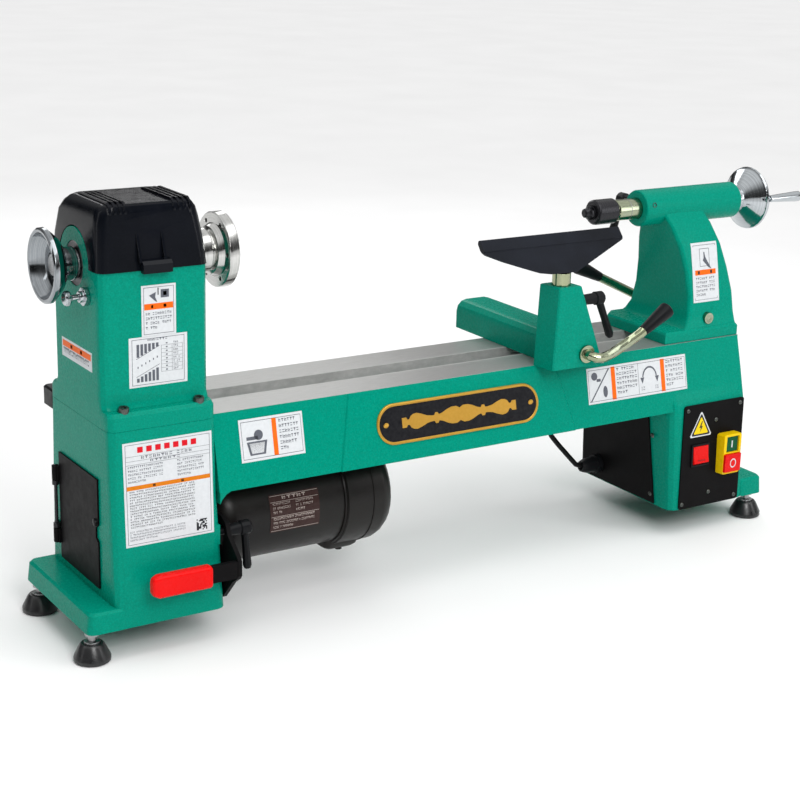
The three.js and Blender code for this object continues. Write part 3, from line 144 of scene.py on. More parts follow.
# ------------------------------------------------------------------ materials
class Nodes:
    """A small helper around one material's node tree."""

    def __init__(self, name):
        self.mat = bpy.data.materials.new(name)
        self.mat.use_nodes = True
        self.tree = self.mat.node_tree
        self.bsdf = self.tree.nodes["Principled BSDF"]
        self.coords = self.tree.nodes.new("ShaderNodeTexCoord")

    def new(self, kind, **values):
        n = self.tree.nodes.new(kind)
        for key, value in values.items():
            if hasattr(n, key):
                setattr(n, key, value)
            else:
                n.inputs[key].default_value = value
        return n

    def link(self, a, b):
        self.tree.links.new(a, b)

    def set(self, **values):
        for key, value in values.items():
            self.bsdf.inputs[key.replace("_", " ")].default_value = value

    def point(self, stretch=(1, 1, 1)):
        m = self.new("ShaderNodeMapping")
        m.inputs["Scale"].default_value = stretch
        self.link(self.coords.outputs["Object"], m.inputs["Vector"])
        return m.outputs["Vector"]

    def noise(self, scale, detail=3.0, rough=0.55, stretch=(1, 1, 1)):
        n = self.new("ShaderNodeTexNoise", Scale=scale, Detail=detail, Roughness=rough)
        self.link(self.point(stretch), n.inputs["Vector"])
        return n.outputs["Fac"]

    def cells(self, scale):
        n = self.new("ShaderNodeTexVoronoi", Scale=scale)
        self.link(self.point(), n.inputs["Vector"])
        return n.outputs["Distance"]

    def ramp(self, value, stops):
        n = self.new("ShaderNodeValToRGB")
        while len(n.color_ramp.elements) < len(stops):
            n.color_ramp.elements.new(0.5)
        for e, (at, color) in zip(n.color_ramp.elements, stops):
            e.position = at
            e.color = color if len(color) == 4 else (*color, 1)
        self.link(value, n.inputs["Fac"])
        return n.outputs["Color"]

    def range(self, value, low, high, a=0.0, b=1.0):
        n = self.new("ShaderNodeMapRange")
        n.inputs["From Min"].default_value, n.inputs["From Max"].default_value = a, b
        n.inputs["To Min"].default_value, n.inputs["To Max"].default_value = low, high
        self.link(value, n.inputs["Value"])
        return n.outputs["Result"]

    def mix(self, fac, a, b):
        n = self.new("ShaderNodeMix", data_type="RGBA")
        if isinstance(fac, (int, float)):
            n.inputs["Factor"].default_value = fac
        else:
            self.link(fac, n.inputs["Factor"])
        for socket, value in ((n.inputs[6], a), (n.inputs[7], b)):
            if isinstance(value, tuple):
                socket.default_value = value if len(value) == 4 else (*value, 1)
            else:
                self.link(value, socket)
        return n.outputs[2]

    def math(self, op, a, b=0.5):
        n = self.new("ShaderNodeMath", operation=op)
        for i, v in enumerate((a, b)):
            if isinstance(v, (int, float)):
                n.inputs[i].default_value = v
            else:
                self.link(v, n.inputs[i])
        return n.outputs[0]

    def bump(self, height, strength, distance, before=None):
        n = self.new("ShaderNodeBump", Strength=strength, Distance=distance)
        self.link(height, n.inputs["Height"])
        if before is not None:
            self.link(before, n.inputs["Normal"])
        return n.outputs["Normal"]

    def color(self, socket):
        self.link(socket, self.bsdf.inputs["Base Color"])

    def roughness(self, socket):
        self.link(socket, self.bsdf.inputs["Roughness"])

    def normal(self, socket):
        self.link(socket, self.bsdf.inputs["Normal"])


# Where the bed is ground bare, in metres: half the slot's width, the walls' low end, and the ways' top.
SLOT_REACH, SLOT_LOW, WAYS_TOP = 0.0205, 0.2215, 0.24545


def paint_material(name="green_powder_coat", ways=False):
    m = Nodes(name)
    fine, broad = m.noise(620, 2.0, 0.5), m.noise(7, 2.0)
    greens = [(0.3, (0.0, 0.212, 0.143)), (0.52, (0.0, 0.252, 0.172)), (0.74, (0.0, 0.3, 0.21))]
    base = m.ramp(fine, greens)
    base = m.mix(m.range(broad, 0.0, 0.22), base, (0.0, 0.225, 0.15))
    # Light green specks: painted highlights, the sparkle of light on the textured powder coat put into its
    # colour.
    painted_glint = m.range(m.cells(1150), 1, 0, 0.05, 0.2)
    base = m.mix(m.math("MULTIPLY", painted_glint, 0.16), base, (0.08, 0.6, 0.46))
    rough = m.range(m.noise(300, 3.0), 0.2, 0.34, 0.3, 0.7)
    pebble = m.noise(430, 2.5, 0.6)
    bump = m.bump(pebble, 0.22, 0.0005, m.bump(m.noise(55, 2.0), 0.08, 0.0012))
    if ways:
        sep = m.new("ShaderNodeSeparateXYZ")
        m.link(m.coords.outputs["Object"], sep.inputs["Vector"])
        across = m.math("ABSOLUTE", m.math("SUBTRACT", sep.outputs["Y"], OY))
        in_slot = m.math("LESS_THAN", across, SLOT_REACH)
        above_floor = m.math("GREATER_THAN", sep.outputs["Z"], SLOT_LOW)
        slot_wall = m.math("MULTIPLY", in_slot, above_floor)
        ground = m.math("MAXIMUM", m.math("GREATER_THAN", sep.outputs["Z"], WAYS_TOP), slot_wall)
        scratch = m.noise(90, 5.0, 0.7, (0.6, 26, 1))
        greys = [(0.25, (0.33, 0.33, 0.325)), (0.55, (0.45, 0.45, 0.44)), (0.8, (0.56, 0.56, 0.55))]
        steel = m.ramp(scratch, greys)
        base = m.mix(ground, base, steel)
        rough_steel = m.range(m.noise(40, 3.0, 0.6, (1, 9, 1)), 0.24, 0.42)
        r = m.new("ShaderNodeMix", data_type="FLOAT")
        m.link(ground, r.inputs["Factor"])
        m.link(rough, r.inputs[2])
        m.link(rough_steel, r.inputs[3])
        rough = r.outputs[0]
        bright = m.math("SUBTRACT", ground, m.math("MULTIPLY", slot_wall, 0.6))
        m.link(m.math("MULTIPLY", bright, 0.7), m.bsdf.inputs["Metallic"])
        b = m.new("ShaderNodeMix", data_type="VECTOR")
        m.link(ground, b.inputs["Factor"])
        m.link(bump, b.inputs[4])
        m.link(m.bump(scratch, 0.08, 0.0003), b.inputs[5])
        bump = b.outputs[1]
    m.color(base)
    m.roughness(rough)
    m.normal(bump)
    m.set(Specular_IOR_Level=0.05)
    return m.mat


def plastic_material(name, color, light, rough=(0.22, 0.38), grain=0.12, scale=900, coat=0.0, spec=0.14):
    m = Nodes(name)
    patches = m.noise(14, 3.0)
    dust = m.noise(420, 2.0)
    base = m.ramp(patches, [(0.3, color), (0.75, light)])
    base = m.mix(m.range(dust, 0, 0.12, 0.55, 0.8), base, tuple(min(1, c * 1.6 + 0.01) for c in light))
    m.color(base)
    m.roughness(m.range(m.noise(120, 4.0), rough[0], rough[1], 0.3, 0.7))
    m.normal(m.bump(m.noise(scale, 2.0), grain, 0.0003, m.bump(m.noise(22, 1.0), 0.03, 0.0015)))
    m.set(Coat_Weight=coat, Coat_Roughness=0.16, Specular_IOR_Level=spec)
    return m.mat


def metal_material(name, color, tint, rough=(0.06, 0.16), rings=None, lines=0.05, metallic=1.0, warm=None):
    """rings: the (y, z) axis in drawing mm that turning marks run round. Without it the lines are brushed."""
    m = Nodes(name)
    if rings:
        v = m.new("ShaderNodeVectorMath", operation="SUBTRACT")
        m.link(m.coords.outputs["Object"], v.inputs[0])
        at = P(0, *rings)
        v.inputs[1].default_value = (0, at.y, at.z)
        sep = m.new("ShaderNodeSeparateXYZ")
        m.link(v.outputs[0], sep.inputs["Vector"])
        yy = m.math("MULTIPLY", sep.outputs["Y"], sep.outputs["Y"])
        zz = m.math("MULTIPLY", sep.outputs["Z"], sep.outputs["Z"])
        radius = m.math("SQRT", m.math("ADD", yy, zz))
        along = m.new("ShaderNodeCombineXYZ")
        m.link(sep.outputs["X"], along.inputs[0])
        m.link(radius, along.inputs[1])
        n = m.new("ShaderNodeTexNoise", Scale=1500.0, Detail=4.0)
        m.link(along.outputs[0], n.inputs["Vector"])
        marks = n.outputs["Fac"]
    else:
        marks = m.noise(120, 4.0, 0.6, (1, 14, 14))
    smudge = m.noise(26, 4.0, 0.6)
    base = m.ramp(marks, [(0.3, color), (0.7, tint)])
    if warm:
        base = m.mix(m.range(m.noise(18, 2.0), 0, 0.6, 0.35, 0.7), base, warm)
    m.color(base)
    m.roughness(m.math("ADD", m.range(marks, rough[0], rough[1], 0.3, 0.7),
                       m.range(smudge, 0, 0.08, 0.5, 0.8)))
    m.normal(m.bump(marks, lines, 0.0002))
    m.set(Metallic=metallic)
    return m.mat


GREEN = paint_material()
GREEN_WAYS = paint_material("green_bed_with_ground_ways", ways=True)
BLACK_GLOSS = plastic_material(
    "black_gloss_cover",
    (0.002, 0.0028, 0.0045), (0.0045, 0.0055, 0.009), (0.16, 0.24), 0.04,
    800, 0.0, 0.13,
)
BLACK = plastic_material(
    "black_moulded_plastic",
    (0.003, 0.0035, 0.0045), (0.008, 0.0085, 0.010), (0.3, 0.45), 0.2,
    700,
)
SHEET = plastic_material(
    "black_painted_sheet",
    (0.004, 0.0036, 0.004), (0.007, 0.0065, 0.007), (0.4, 0.5), 0.12, 500,
    0.0, 0.05,
)
MOTOR = plastic_material(
    "motor_black_satin",
    (0.004, 0.0035, 0.0035), (0.011, 0.0095, 0.008), (0.3, 0.42), 0.16,
    420, 0.0, 0.25,
)
REST = plastic_material(
    "charcoal_casting",
    (0.0035, 0.0045, 0.0075), (0.01, 0.0125, 0.02), (0.3, 0.46), 0.42,
    300, 0.0, 0.12,
)
RUBBER = plastic_material(
    "foot_rubber",
    (0.006, 0.006, 0.0065), (0.013, 0.013, 0.0145), (0.26, 0.4), 0.2, 520,
    0.0, 0.6,
)
CABLE = plastic_material("cable_jacket", (0.005, 0.005, 0.0055), (0.01, 0.01, 0.0105), (0.35, 0.5), 0.15, 900)
RED_VINYL = plastic_material(
    "red_dipped_vinyl",
    (0.72, 0.002, 0.002), (0.82, 0.004, 0.004), (0.2, 0.34), 0.1,
    500,
)
RED = plastic_material(
    "red_moulded_plastic",
    (0.62, 0.003, 0.003), (0.75, 0.008, 0.006), (0.2, 0.32), 0.06,
    700,
)
GREEN_BUTTON = plastic_material(
    "green_button",
    (0.0, 0.07, 0.022), (0.0, 0.11, 0.035), (0.2, 0.32), 0.06,
    700,
)
YELLOW = plastic_material(
    "yellow_moulded_plastic",
    (0.8, 0.52, 0.0), (0.9, 0.62, 0.005), (0.22, 0.34), 0.06,
    700,
)
CHROME = metal_material(
    "polished_chrome",
    (0.36, 0.39, 0.41), (0.58, 0.61, 0.63), (0.06, 0.14), (0, SPINDLE_Z),
    0.04,
)
# The outboard handwheel's chrome, darkened: painted shade standing in for the darker reflections in its dish.
CHROME_PAINTED_SHADE = metal_material(
    "chrome_with_painted_shade",
    (0.2, 0.22, 0.235), (0.4, 0.42, 0.44), (0.07, 0.15), (0, SPINDLE_Z),
    0.04,
)
ZINC = metal_material(
    "yellowish_zinc_bar",
    (0.24, 0.28, 0.2), (0.42, 0.45, 0.33), (0.12, 0.22), None, 0.03, 1.0,
    (0.36, 0.38, 0.2),
)
STEEL = metal_material(
    "turned_steel",
    (0.38, 0.39, 0.40), (0.54, 0.55, 0.56), (0.2, 0.34), (0, SPINDLE_Z),
    0.10,
)
PLATE = metal_material(
    "faceplate_steel",
    (0.46, 0.46, 0.45), (0.66, 0.66, 0.64), (0.1, 0.2), (0, SPINDLE_Z),
    0.08,
)
ALLOY = metal_material(
    "pulley_alloy",
    (0.55, 0.56, 0.57), (0.66, 0.67, 0.68), (0.28, 0.42), (0, SPINDLE_Z),
    0.12,
)
BARE = metal_material("plain_steel", (0.28, 0.28, 0.285), (0.42, 0.42, 0.425), (0.25, 0.4))
OXIDE = metal_material(
    "blackened_steel",
    (0.012, 0.012, 0.014), (0.028, 0.028, 0.033), (0.2, 0.34),
    (0, SPINDLE_Z), 0.06, 0.6,
)
DARK_SCREW = metal_material(
    "dark_screw",
    (0.06, 0.065, 0.06), (0.13, 0.14, 0.13), (0.25, 0.4), None, 0.05,
    0.9,
)


def ink(name, color, rough=0.35, metallic=0.0):
    m = Nodes(name)
    light = tuple(min(1.0, c * 1.08 + 0.01) for c in color)
    m.color(m.ramp(m.noise(260, 3.0), [(0.3, color), (0.75, light)]))
    m.roughness(m.range(m.noise(90, 3.0), rough - 0.06, rough + 0.08))
    m.normal(m.bump(m.noise(700, 2.0), 0.04, 0.0001))
    m.set(Metallic=metallic, Specular_IOR_Level=0.15)
    return m.mat


PAPER = ink("label_white", (0.62, 0.64, 0.66), 0.45)
INK = ink("label_grey_ink", (0.1, 0.108, 0.13), 0.45)
INK_DARK = ink("label_black_ink", (0.02, 0.02, 0.025))
ORANGE = ink("label_orange", (0.80, 0.125, 0.0), 0.45)
AMBER = ink("label_amber", (0.62, 0.17, 0.0), 0.45)
CRIMSON = ink("label_red", (0.6, 0.0, 0.01))
GOLD = ink("badge_gold", (0.60, 0.33, 0.05), 0.3, 0.6)
BADGE_BLACK = ink("badge_black", (0.008, 0.008, 0.01), 0.22)
WARN = ink("warning_yellow", (0.82, 0.58, 0.0))
SILVER = ink("nameplate_silver", (0.42, 0.36, 0.33), 0.3, 0.6)

LOOKS = {
    "bed": GREEN_WAYS, "left_pedestal": GREEN, "headstock": GREEN, "banjo": GREEN, "tailstock": GREEN,
    "belt_cover": BLACK_GLOSS, "rear_bracket": BLACK, "side_cover": SHEET, "control_panel": SHEET,
    "cable_gland": BLACK, "motor_lock_handle": BLACK, "rest_lock_handle": BLACK, "quill_lock_handle": BLACK,
    "banjo_lever_grip": BLACK, "tail_lock_grip": BLACK, "motor_plate": SHEET, "motor_body": MOTOR,
    "pulley_door": SHEET, "tension_lever": SHEET, "outboard_handwheel": CHROME_PAINTED_SHADE, "tail_handwheel": CHROME,
    "wheel_handle": CHROME, "banjo_lever": ZINC, "tail_lock_lever": ZINC, "rest_post": ZINC, "quill": ZINC,
    "index_pin_body": CHROME, "index_plunger": CHROME, "faceplate": PLATE, "spindle": STEEL,
    "bearing_left": OXIDE,
    "bearing_right": STEEL, "drive_centre": STEEL, "motor_shaft": BARE, "quill_screw": BARE,
    "cover_hinge_pin": BARE,
    "door_hinge_pin": OXIDE, "banjo_clamp_plate": BARE, "banjo_clamp_bolt": BARE, "tail_clamp": BARE,
    "spindle_pulley": ALLOY, "motor_pulley": ALLOY, "drive_belt": CABLE, "motor_cable": CABLE,
    "tension_grip": RED_VINYL, "tool_rest": REST, "live_centre_body": OXIDE, "live_centre_point": OXIDE,
    "rocker_switch": RED, "stop_button": RED, "start_button": GREEN_BUTTON, "switch_box": YELLOW,
}
# Edge rounding in mm for the castings, sheets and turned pieces.
SOFT_EDGE = {
    "bed": 0.9, "left_pedestal": 2.0, "headstock": 2.0, "banjo": 1.5, "tailstock": 2.0, "belt_cover": 1.0,
    "tool_rest": 1.4, "tension_grip": 1.2, "motor_body": 1.0, "switch_box": 0.8, "rocker_switch": 0.6,
    "stop_button": 0.8, "start_button": 0.6, "rear_bracket": 0.8, "side_cover": 0.4, "control_panel": 0.5,
}


def soften(ob, width, angle=30, segments=2):
    weld = ob.modifiers.new("weld", "WELD")
    weld.merge_threshold = 2e-5
    bevel = ob.modifiers.new("edge", "BEVEL")
    bevel.width = width / 1000
    bevel.segments = segments
    bevel.limit_method = "ANGLE"
    bevel.angle_limit = math.radians(angle)
    bevel.use_clamp_overlap = True
    split = ob.modifiers.new("creases", "EDGE_SPLIT")
    split.split_angle = math.radians(36)
    even = ob.modifiers.new("flats", "WEIGHTED_NORMAL")
    even.weight = 60


def smooth(ob):
    me = ob.data
    if me.attributes.get("custom_normal"):
        me.attributes.remove(me.attributes["custom_normal"])
    me.polygons.foreach_set("use_smooth", [True] * len(me.polygons))
    me.update()


for name, ob in nodes.items():
    look = LOOKS.get(name, RUBBER if name.startswith("foot_pad") else BARE)
    ob.data.materials.clear()
    ob.data.materials.append(look)
    smooth(ob)
    soften(ob, SOFT_EDGE.get(name, 0.35))


# ------------------------------------------------------------------ mesh tools
def mesh_object(name, verts, faces, materials, indices=None, body="frame", smooth_faces=False):
    me = bpy.data.meshes.new(name)
    me.from_pydata([tuple(v) for v in verts], [], faces)
    for m in materials if isinstance(materials, (list, tuple)) else [materials]:
        me.materials.append(m)
    if indices:
        me.polygons.foreach_set("material_index", indices)
    if smooth_faces:
        me.polygons.foreach_set("use_smooth", [True] * len(me.polygons))
        me.set_sharp_from_angle(angle=math.radians(35))
    me.update()
    ob = bpy.data.objects.new(name, me)
    scene.collection.objects.link(ob)
    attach(ob, body)
    return ob


def lathe(name, profile, origin, axis, material, body, segments=48):
    """profile: [along, radius] in mm from origin along axis."""
    a = Vector(axis).normalized()
    u = a.orthogonal().normalized()
    w = a.cross(u)
    o = P(*origin)
    verts, faces, rows = [], [], []
    for along, r in profile:
        if r < 1e-6:
            rows.append([len(verts)])
            verts.append(o + a * along / 1000)
        else:
            row = []
            for i in range(segments):
                t = 2 * math.pi * i / segments
                row.append(len(verts))
                verts.append(o + a * along / 1000 + (u * math.cos(t) + w * math.sin(t)) * r / 1000)
            rows.append(row)
    for ra, rb in zip(rows, rows[1:]):
        for i in range(segments):
            j = (i + 1) % segments
            if len(ra) == 1 and len(rb) > 1:
                faces.append((ra[0], rb[j], rb[i]))
            elif len(rb) == 1 and len(ra) > 1:
                faces.append((ra[i], ra[j], rb[0]))
            elif len(ra) > 1:
                faces.append((ra[i], ra[j], rb[j], rb[i]))
    return mesh_object(name, verts, faces, material, None, body, True)


def socket_screw(name, at, axis, body, r=4.6, h=4.6, material=None, head="socket"):
    """A cap screw: knurled head with a hex socket, or a domed cross head."""
    a = Vector(axis).normalized()
    u = a.orthogonal().normalized()
    w = a.cross(u)
    o = P(*at)
    verts, faces = [], []

    def ring(radius, along, n, knurl=0.0):
        start = len(verts)
        for i in range(n):
            t = 2 * math.pi * i / n
            rr = radius - (knurl if i % 2 else 0.0)
            verts.append(o + a * along / 1000 + (u * math.cos(t) + w * math.sin(t)) * rr / 1000)
        return list(range(start, start + n))

    def bridge(x, y):
        n = len(x)
        for i in range(n):
            faces.append((x[i], x[(i + 1) % n], y[(i + 1) % n], y[i]))

    n = 36
    if head == "socket":
        rings = [ring(r, 0, n, 0.25), ring(r, h * 0.85, n, 0.25), ring(r * 0.9, h, n)]
        hexr = r * 0.52
        inner = []
        for along in (h, h - 2.2):
            start = len(verts)
            for i in range(n):
                t = 2 * math.pi * i / n
                k = (t % (math.pi / 3)) - math.pi / 6
                rr = hexr * math.cos(math.pi / 6) / math.cos(k)
                verts.append(o + a * along / 1000 + (u * math.cos(t) + w * math.sin(t)) * rr / 1000)
            inner.append(list(range(start, start + n)))
        for x, y in zip(rings, rings[1:]):
            bridge(x, y)
        bridge(rings[-1], inner[0])
        bridge(inner[0], inner[1])
        faces.append(tuple(inner[1]))
    else:
        rings = [ring(r, 0, n), ring(r, h * 0.25, n), ring(r * 0.82, h * 0.7, n), ring(r * 0.45, h, n)]
        for x, y in zip(rings, rings[1:]):
            bridge(x, y)
        cross = []
        for along, k in ((h, 1.0), (h - 0.9, 0.7)):
            start = len(verts)
            for i in range(n):
                t = 2 * math.pi * i / n
                c = abs(math.cos(2 * t)) ** 3
                rr = r * (0.1 + 0.33 * c) * k
                verts.append(o + a * along / 1000 + (u * math.cos(t) + w * math.sin(t)) * rr / 1000)
            cross.append(list(range(start, start + n)))
        bridge(rings[-1], cross[0])
        bridge(cross[0], cross[1])
        faces.append(tuple(cross[1]))
    return mesh_object(name, verts, faces, material or DARK_SCREW, None, body, True)


# ------------------------------------------------------------------ labels
def decal(name, place, items, body="frame", grid=(2, 2), palette=None, thick=0.18):
    """A sticker: place(u, v) gives its surface's drawing point, and an item is (outline, ink index)."""
    inks = palette or [PAPER, INK, INK_DARK, ORANGE, AMBER, CRIMSON]
    verts, faces, indices = [], [], []

    def outward(u, v):
        e = 0.01
        a, b, c = (Vector(place(*q)) for q in ((u, v), (u + e, v), (u, v + e)))
        return (b - a).cross(c - a).normalized()

    def put(u, v, lift):
        return P(*(Vector(place(u, v)) + outward(u, v) * lift))

    nu, nv = grid
    start = len(verts)
    for j in range(nv + 1):
        for i in range(nu + 1):
            verts.append(put(i / nu, j / nv, thick))
    for j in range(nv):
        for i in range(nu):
            a = start + j * (nu + 1) + i
            faces.append((a, a + 1, a + nu + 2, a + nu + 1))
            indices.append(0)
    rim = [i for i in range(nu + 1)]
    rim += [j * (nu + 1) + nu for j in range(1, nv + 1)]
    rim += [nv * (nu + 1) + i for i in range(nu - 1, -1, -1)]
    rim += [j * (nu + 1) for j in range(nv - 1, 0, -1)]
    uv = [(k % (nu + 1) / nu, k // (nu + 1) / nv) for k in rim]
    low = len(verts)
    for u, v in uv:
        verts.append(put(u, v, -0.3))
    for k in range(len(rim)):
        n = (k + 1) % len(rim)
        faces.append((low + k, low + n, start + rim[n], start + rim[k]))
        indices.append(0)
    for item in items:
        points, color = item
        s = len(verts)
        for u, v in points:
            verts.append(put(u, v, thick + 0.10))
        faces.append(tuple(range(s, s + len(points))))
        indices.append(color)
    return mesh_object(name, verts, faces, inks, indices, body)


def rect(u0, v0, u1, v1, color):
    return ([(u0, v0), (u1, v0), (u1, v1), (u0, v1)], color)


def frame_lines(u0, v0, u1, v1, w, h, color):
    return [rect(u0, v0, u1, v0 + h, color), rect(u0, v1 - h, u1, v1, color),
            rect(u0, v0, u0 + w, v1, color), rect(u1 - w, v0, u1, v1, color)]


def text_rows(u0, v0, u1, v1, rows, color=1, seed=1, mark=0.03, fill=0.55, short_last=True):
    """Rows of small unreadable strokes."""
    rng = random.Random(seed)
    items = []
    pitch = (v1 - v0) / rows
    for k in range(rows):
        top = v1 - k * pitch
        end = u1 if not (short_last and k == rows - 1) else u0 + (u1 - u0) * 0.5
        u = u0
        while u + mark <= end:
            w = mark * (0.62 + 0.2 * rng.random())
            h = pitch * fill
            style = rng.random()
            if style < 0.4:
                items.append(rect(u, top - h * 0.34, u + w, top, color))
                items.append(rect(u + w * 0.36, top - h, u + w * 0.64, top - h * 0.3, color))
            elif style < 0.75:
                items.append(rect(u, top - h, u + w * 0.3, top, color))
                items.append(rect(u + w * 0.5, top - h * 0.6, u + w, top - h * 0.2, color))
                items.append(rect(u + w * 0.5, top - h, u + w, top - h * 0.8, color))
            else:
                items.append(rect(u, top - h * 0.24, u + w, top, color))
                items.append(rect(u, top - h, u + w, top - h * 0.74, color))
            u += mark * (1.0 if rng.random() > 0.08 else 1.9)
    return items


def disc(u, v, ru, rv, color, n=20, a0=0.0, a1=2 * math.pi):
    full = abs(a1 - a0) > 6.2
    pts = [(u + ru * math.cos(a0 + (a1 - a0) * i / n), v + rv * math.sin(a0 + (a1 - a0) * i / n))
           for i in range(n if full else n + 1)]
    return (pts, color)


def arc(u, v, ru, rv, k, color, a0, a1, n=12):
    items = []
    for i in range(n):
        p, q = a0 + (a1 - a0) * i / n, a0 + (a1 - a0) * (i + 1) / n
        items.append(([(u + ru * math.cos(p), v + rv * math.sin(p)),
                       (u + ru * math.cos(q), v + rv * math.sin(q)),
                       (u + ru * k * math.cos(q), v + rv * k * math.sin(q)),
                       (u + ru * k * math.cos(p), v + rv * k * math.sin(p))][::-1], color))
    return items


def column_front(z):
    return -(79.5 + 10 * (245.3 - z) / 210.8)


def bed_front(z, proud=0.0):
    return -(66 + 18 * (245.6 - z) / 82.1) - proud


def tail_front(z):
    table = [(274, 57.4), (300, 53.4), (330, 48.3), (360, 42), (385, 31.6)]
    for (a, p), (b, q) in zip(table, table[1:]):
        if z <= b:
            return -(p + (q - p) * (z - a) / (b - a))
    return -31.6


def flat_y(x0, x1, z0, z1, y_of):
    return lambda u, v: (x0 + (x1 - x0) * u, y_of(z0 + (z1 - z0) * v), z0 + (z1 - z0) * v)


# Headstock: notice above, step chart below.
items = frame_lines(0.06, 0.04, 0.94, 0.96, 0.012, 0.009, 1)
items += [rect(0.08, 0.52, 0.92, 0.64, 3), rect(0.28, 0.55, 0.34, 0.61, 2), rect(0.64, 0.55, 0.72, 0.61, 2)]
items += text_rows(0.12, 0.1, 0.9, 0.47, 4, 1, 3, 0.07)
items += [rect(0.56, 0.74, 0.8, 0.9, 1), rect(0.63, 0.78, 0.73, 0.86, 0), rect(0.47, 0.8, 0.5, 0.94, 2)]
items += [([(0.22, 0.8), (0.4, 0.68), (0.46, 0.66), (0.4, 0.76), (0.42, 0.86)], 1)]
decal("head_notice", flat_y(49.4, 87.4, 336.8, 389.8, lambda z: -62.5), items)
items = frame_lines(0.05, 0.04, 0.95, 0.96, 0.008, 0.009, 1)
items += text_rows(0.32, 0.9, 0.68, 0.95, 1, 1, 5, 0.05, 0.8, False)
for i in range(6):
    u = 0.13 + 0.066 * i
    items.append(rect(u, 0.60 + 0.035 * i, u + 0.045, 0.86, 1))
    items.append(rect(u, 0.1, u + 0.045, 0.18 + 0.035 * i, 1))
    items.append(rect(u + 0.012, 0.38 + 0.035 * i, u + 0.03, 0.42 + 0.035 * i, 1))
items.append(([(0.12, 0.56), (0.52, 0.79), (0.52, 0.8), (0.12, 0.57)], 1))
items.append(([(0.12, 0.2), (0.52, 0.42), (0.52, 0.43), (0.12, 0.21)], 1))
for k in range(8):
    items.append(rect(0.55, 0.26 + 0.076 * k, 0.92, 0.265 + 0.076 * k, 1))
    items.append(rect(0.63, 0.285 + 0.076 * k, 0.66, 0.31 + 0.076 * k, 1))
    items += text_rows(0.76, 0.28 + 0.076 * k, 0.88, 0.32 + 0.076 * k, 1, 1, k, 0.03, 0.9, False)
items += [rect(u, 0.26, u + 0.005, 0.8, 1) for u in (0.55, 0.735, 0.915)]
decal("head_chart", flat_y(34.8, 99.6, 284.6, 337.0, lambda z: -62.5), items)
items = [rect(0.03, 0.55, 0.97, 0.88, 3), rect(0.3, 0.62, 0.36, 0.8, 2), rect(0.62, 0.62, 0.68, 0.8, 2)]
items += text_rows(0.06, 0.12, 0.95, 0.5, 1, 1, 9, 0.045, 0.75, False)
decal("head_side_notice", lambda u, v: (4.0, 38.8 - 79.6 * u, 300 + 20.2 * v), items)

# Left column nameplate: a row of red squares as its title, ruled rows and small marks.
items = frame_lines(0.025, 0.02, 0.975, 0.98, 0.005, 0.004, 1)
items += [rect(0.16 + 0.1 * k, 0.895, 0.16 + 0.1 * k + 0.062, 0.95, 5) for k in range(7)]
items += [rect(0.03, v, 0.97, v + 0.003, 1) for v in (0.865, 0.82, 0.785)]
items += text_rows(0.2, 0.825, 0.82, 0.86, 1, 1, 12, 0.045, 0.75, False)
items += text_rows(0.3, 0.79, 0.7, 0.818, 1, 1, 13, 0.05, 0.7, False)
items += text_rows(0.05, 0.6, 0.45, 0.775, 5, 1, 14, 0.022) + text_rows(0.6, 0.6, 0.92, 0.775, 5, 1, 15,
        0.022)
items += [rect(0.03, 0.545, 0.97, 0.585, 4), rect(0.32, 0.553, 0.35, 0.578, 2),
          rect(0.64, 0.553, 0.67, 0.578, 2)]
items += text_rows(0.06, 0.17, 0.8, 0.535, 14, 2, 16, 0.02)
items += text_rows(0.05, 0.045, 0.68, 0.15, 4, 1, 17, 0.018)
rng = random.Random(4)
for i in range(9):
    for j in range(9):
        if rng.random() < 0.55 or (i in (0, 8) and j % 2 == 0):
            items.append(rect(0.8 + 0.0135 * i, 0.045 + 0.0122 * j, 0.8 + 0.0135 * (i + 1),
                              0.045 + 0.0122 * (j + 1), 2))
decal("column_nameplate", flat_y(18, 118, 122, 233, column_front), items)

# Bed notices.
items = frame_lines(0.03, 0.06, 0.97, 0.94, 0.006, 0.012, 1) + [rect(0.51, 0.06, 0.58, 0.94, 3)]
items += text_rows(0.62, 0.12, 0.95, 0.9, 6, 1, 21, 0.045)
items += [([(0.1, 0.46), (0.14, 0.14), (0.38, 0.14), (0.42, 0.46)], 1),
          ([(0.14, 0.42), (0.17, 0.18), (0.35, 0.18), (0.38, 0.42)], 0)]
items += [disc(0.29, 0.6, 0.07, 0.12, 1), rect(0.1, 0.5, 0.28, 0.58, 1)]
decal("bed_notice_left", flat_y(155, 232, 190, 235, bed_front), items)
items = frame_lines(0.01, 0.06, 0.99, 0.94, 0.003, 0.012, 1)
items += [rect(0.235, 0.04, 0.275, 0.96, 3), rect(0.735, 0.04, 0.775, 0.96, 3),
          rect(0.505, 0.06, 0.508, 0.94, 1)]
items += text_rows(0.29, 0.12, 0.5, 0.9, 6, 1, 22, 0.026) + text_rows(0.79, 0.12, 0.98, 0.9, 6, 1, 23, 0.026)
items += [([(0.02, 0.08), (0.03, 0.06), (0.22, 0.92), (0.21, 0.94)], 1)]
items += [disc(0.07, 0.76, 0.03, 0.11, 1), disc(0.17, 0.3, 0.022, 0.16, 1), rect(0.09, 0.6, 0.13, 0.68, 1)]
items += arc(0.62, 0.5, 0.075, 0.32, 0.84, 1, 0.1, math.pi - 0.1)
items += [([(0.525, 0.52), (0.545, 0.34), (0.565, 0.52)], 1),
          ([(0.675, 0.52), (0.695, 0.34), (0.715, 0.52)], 1)]
items += text_rows(0.53, 0.14, 0.58, 0.26, 2, 1, 24, 0.02, 0.6, False) + text_rows(0.67, 0.14, 0.72, 0.26,
        2, 1, 25, 0.02, 0.6, False)
decal("bed_notice_right", flat_y(621, 776, 189.5, 232, bed_front), items, thick=0.6)

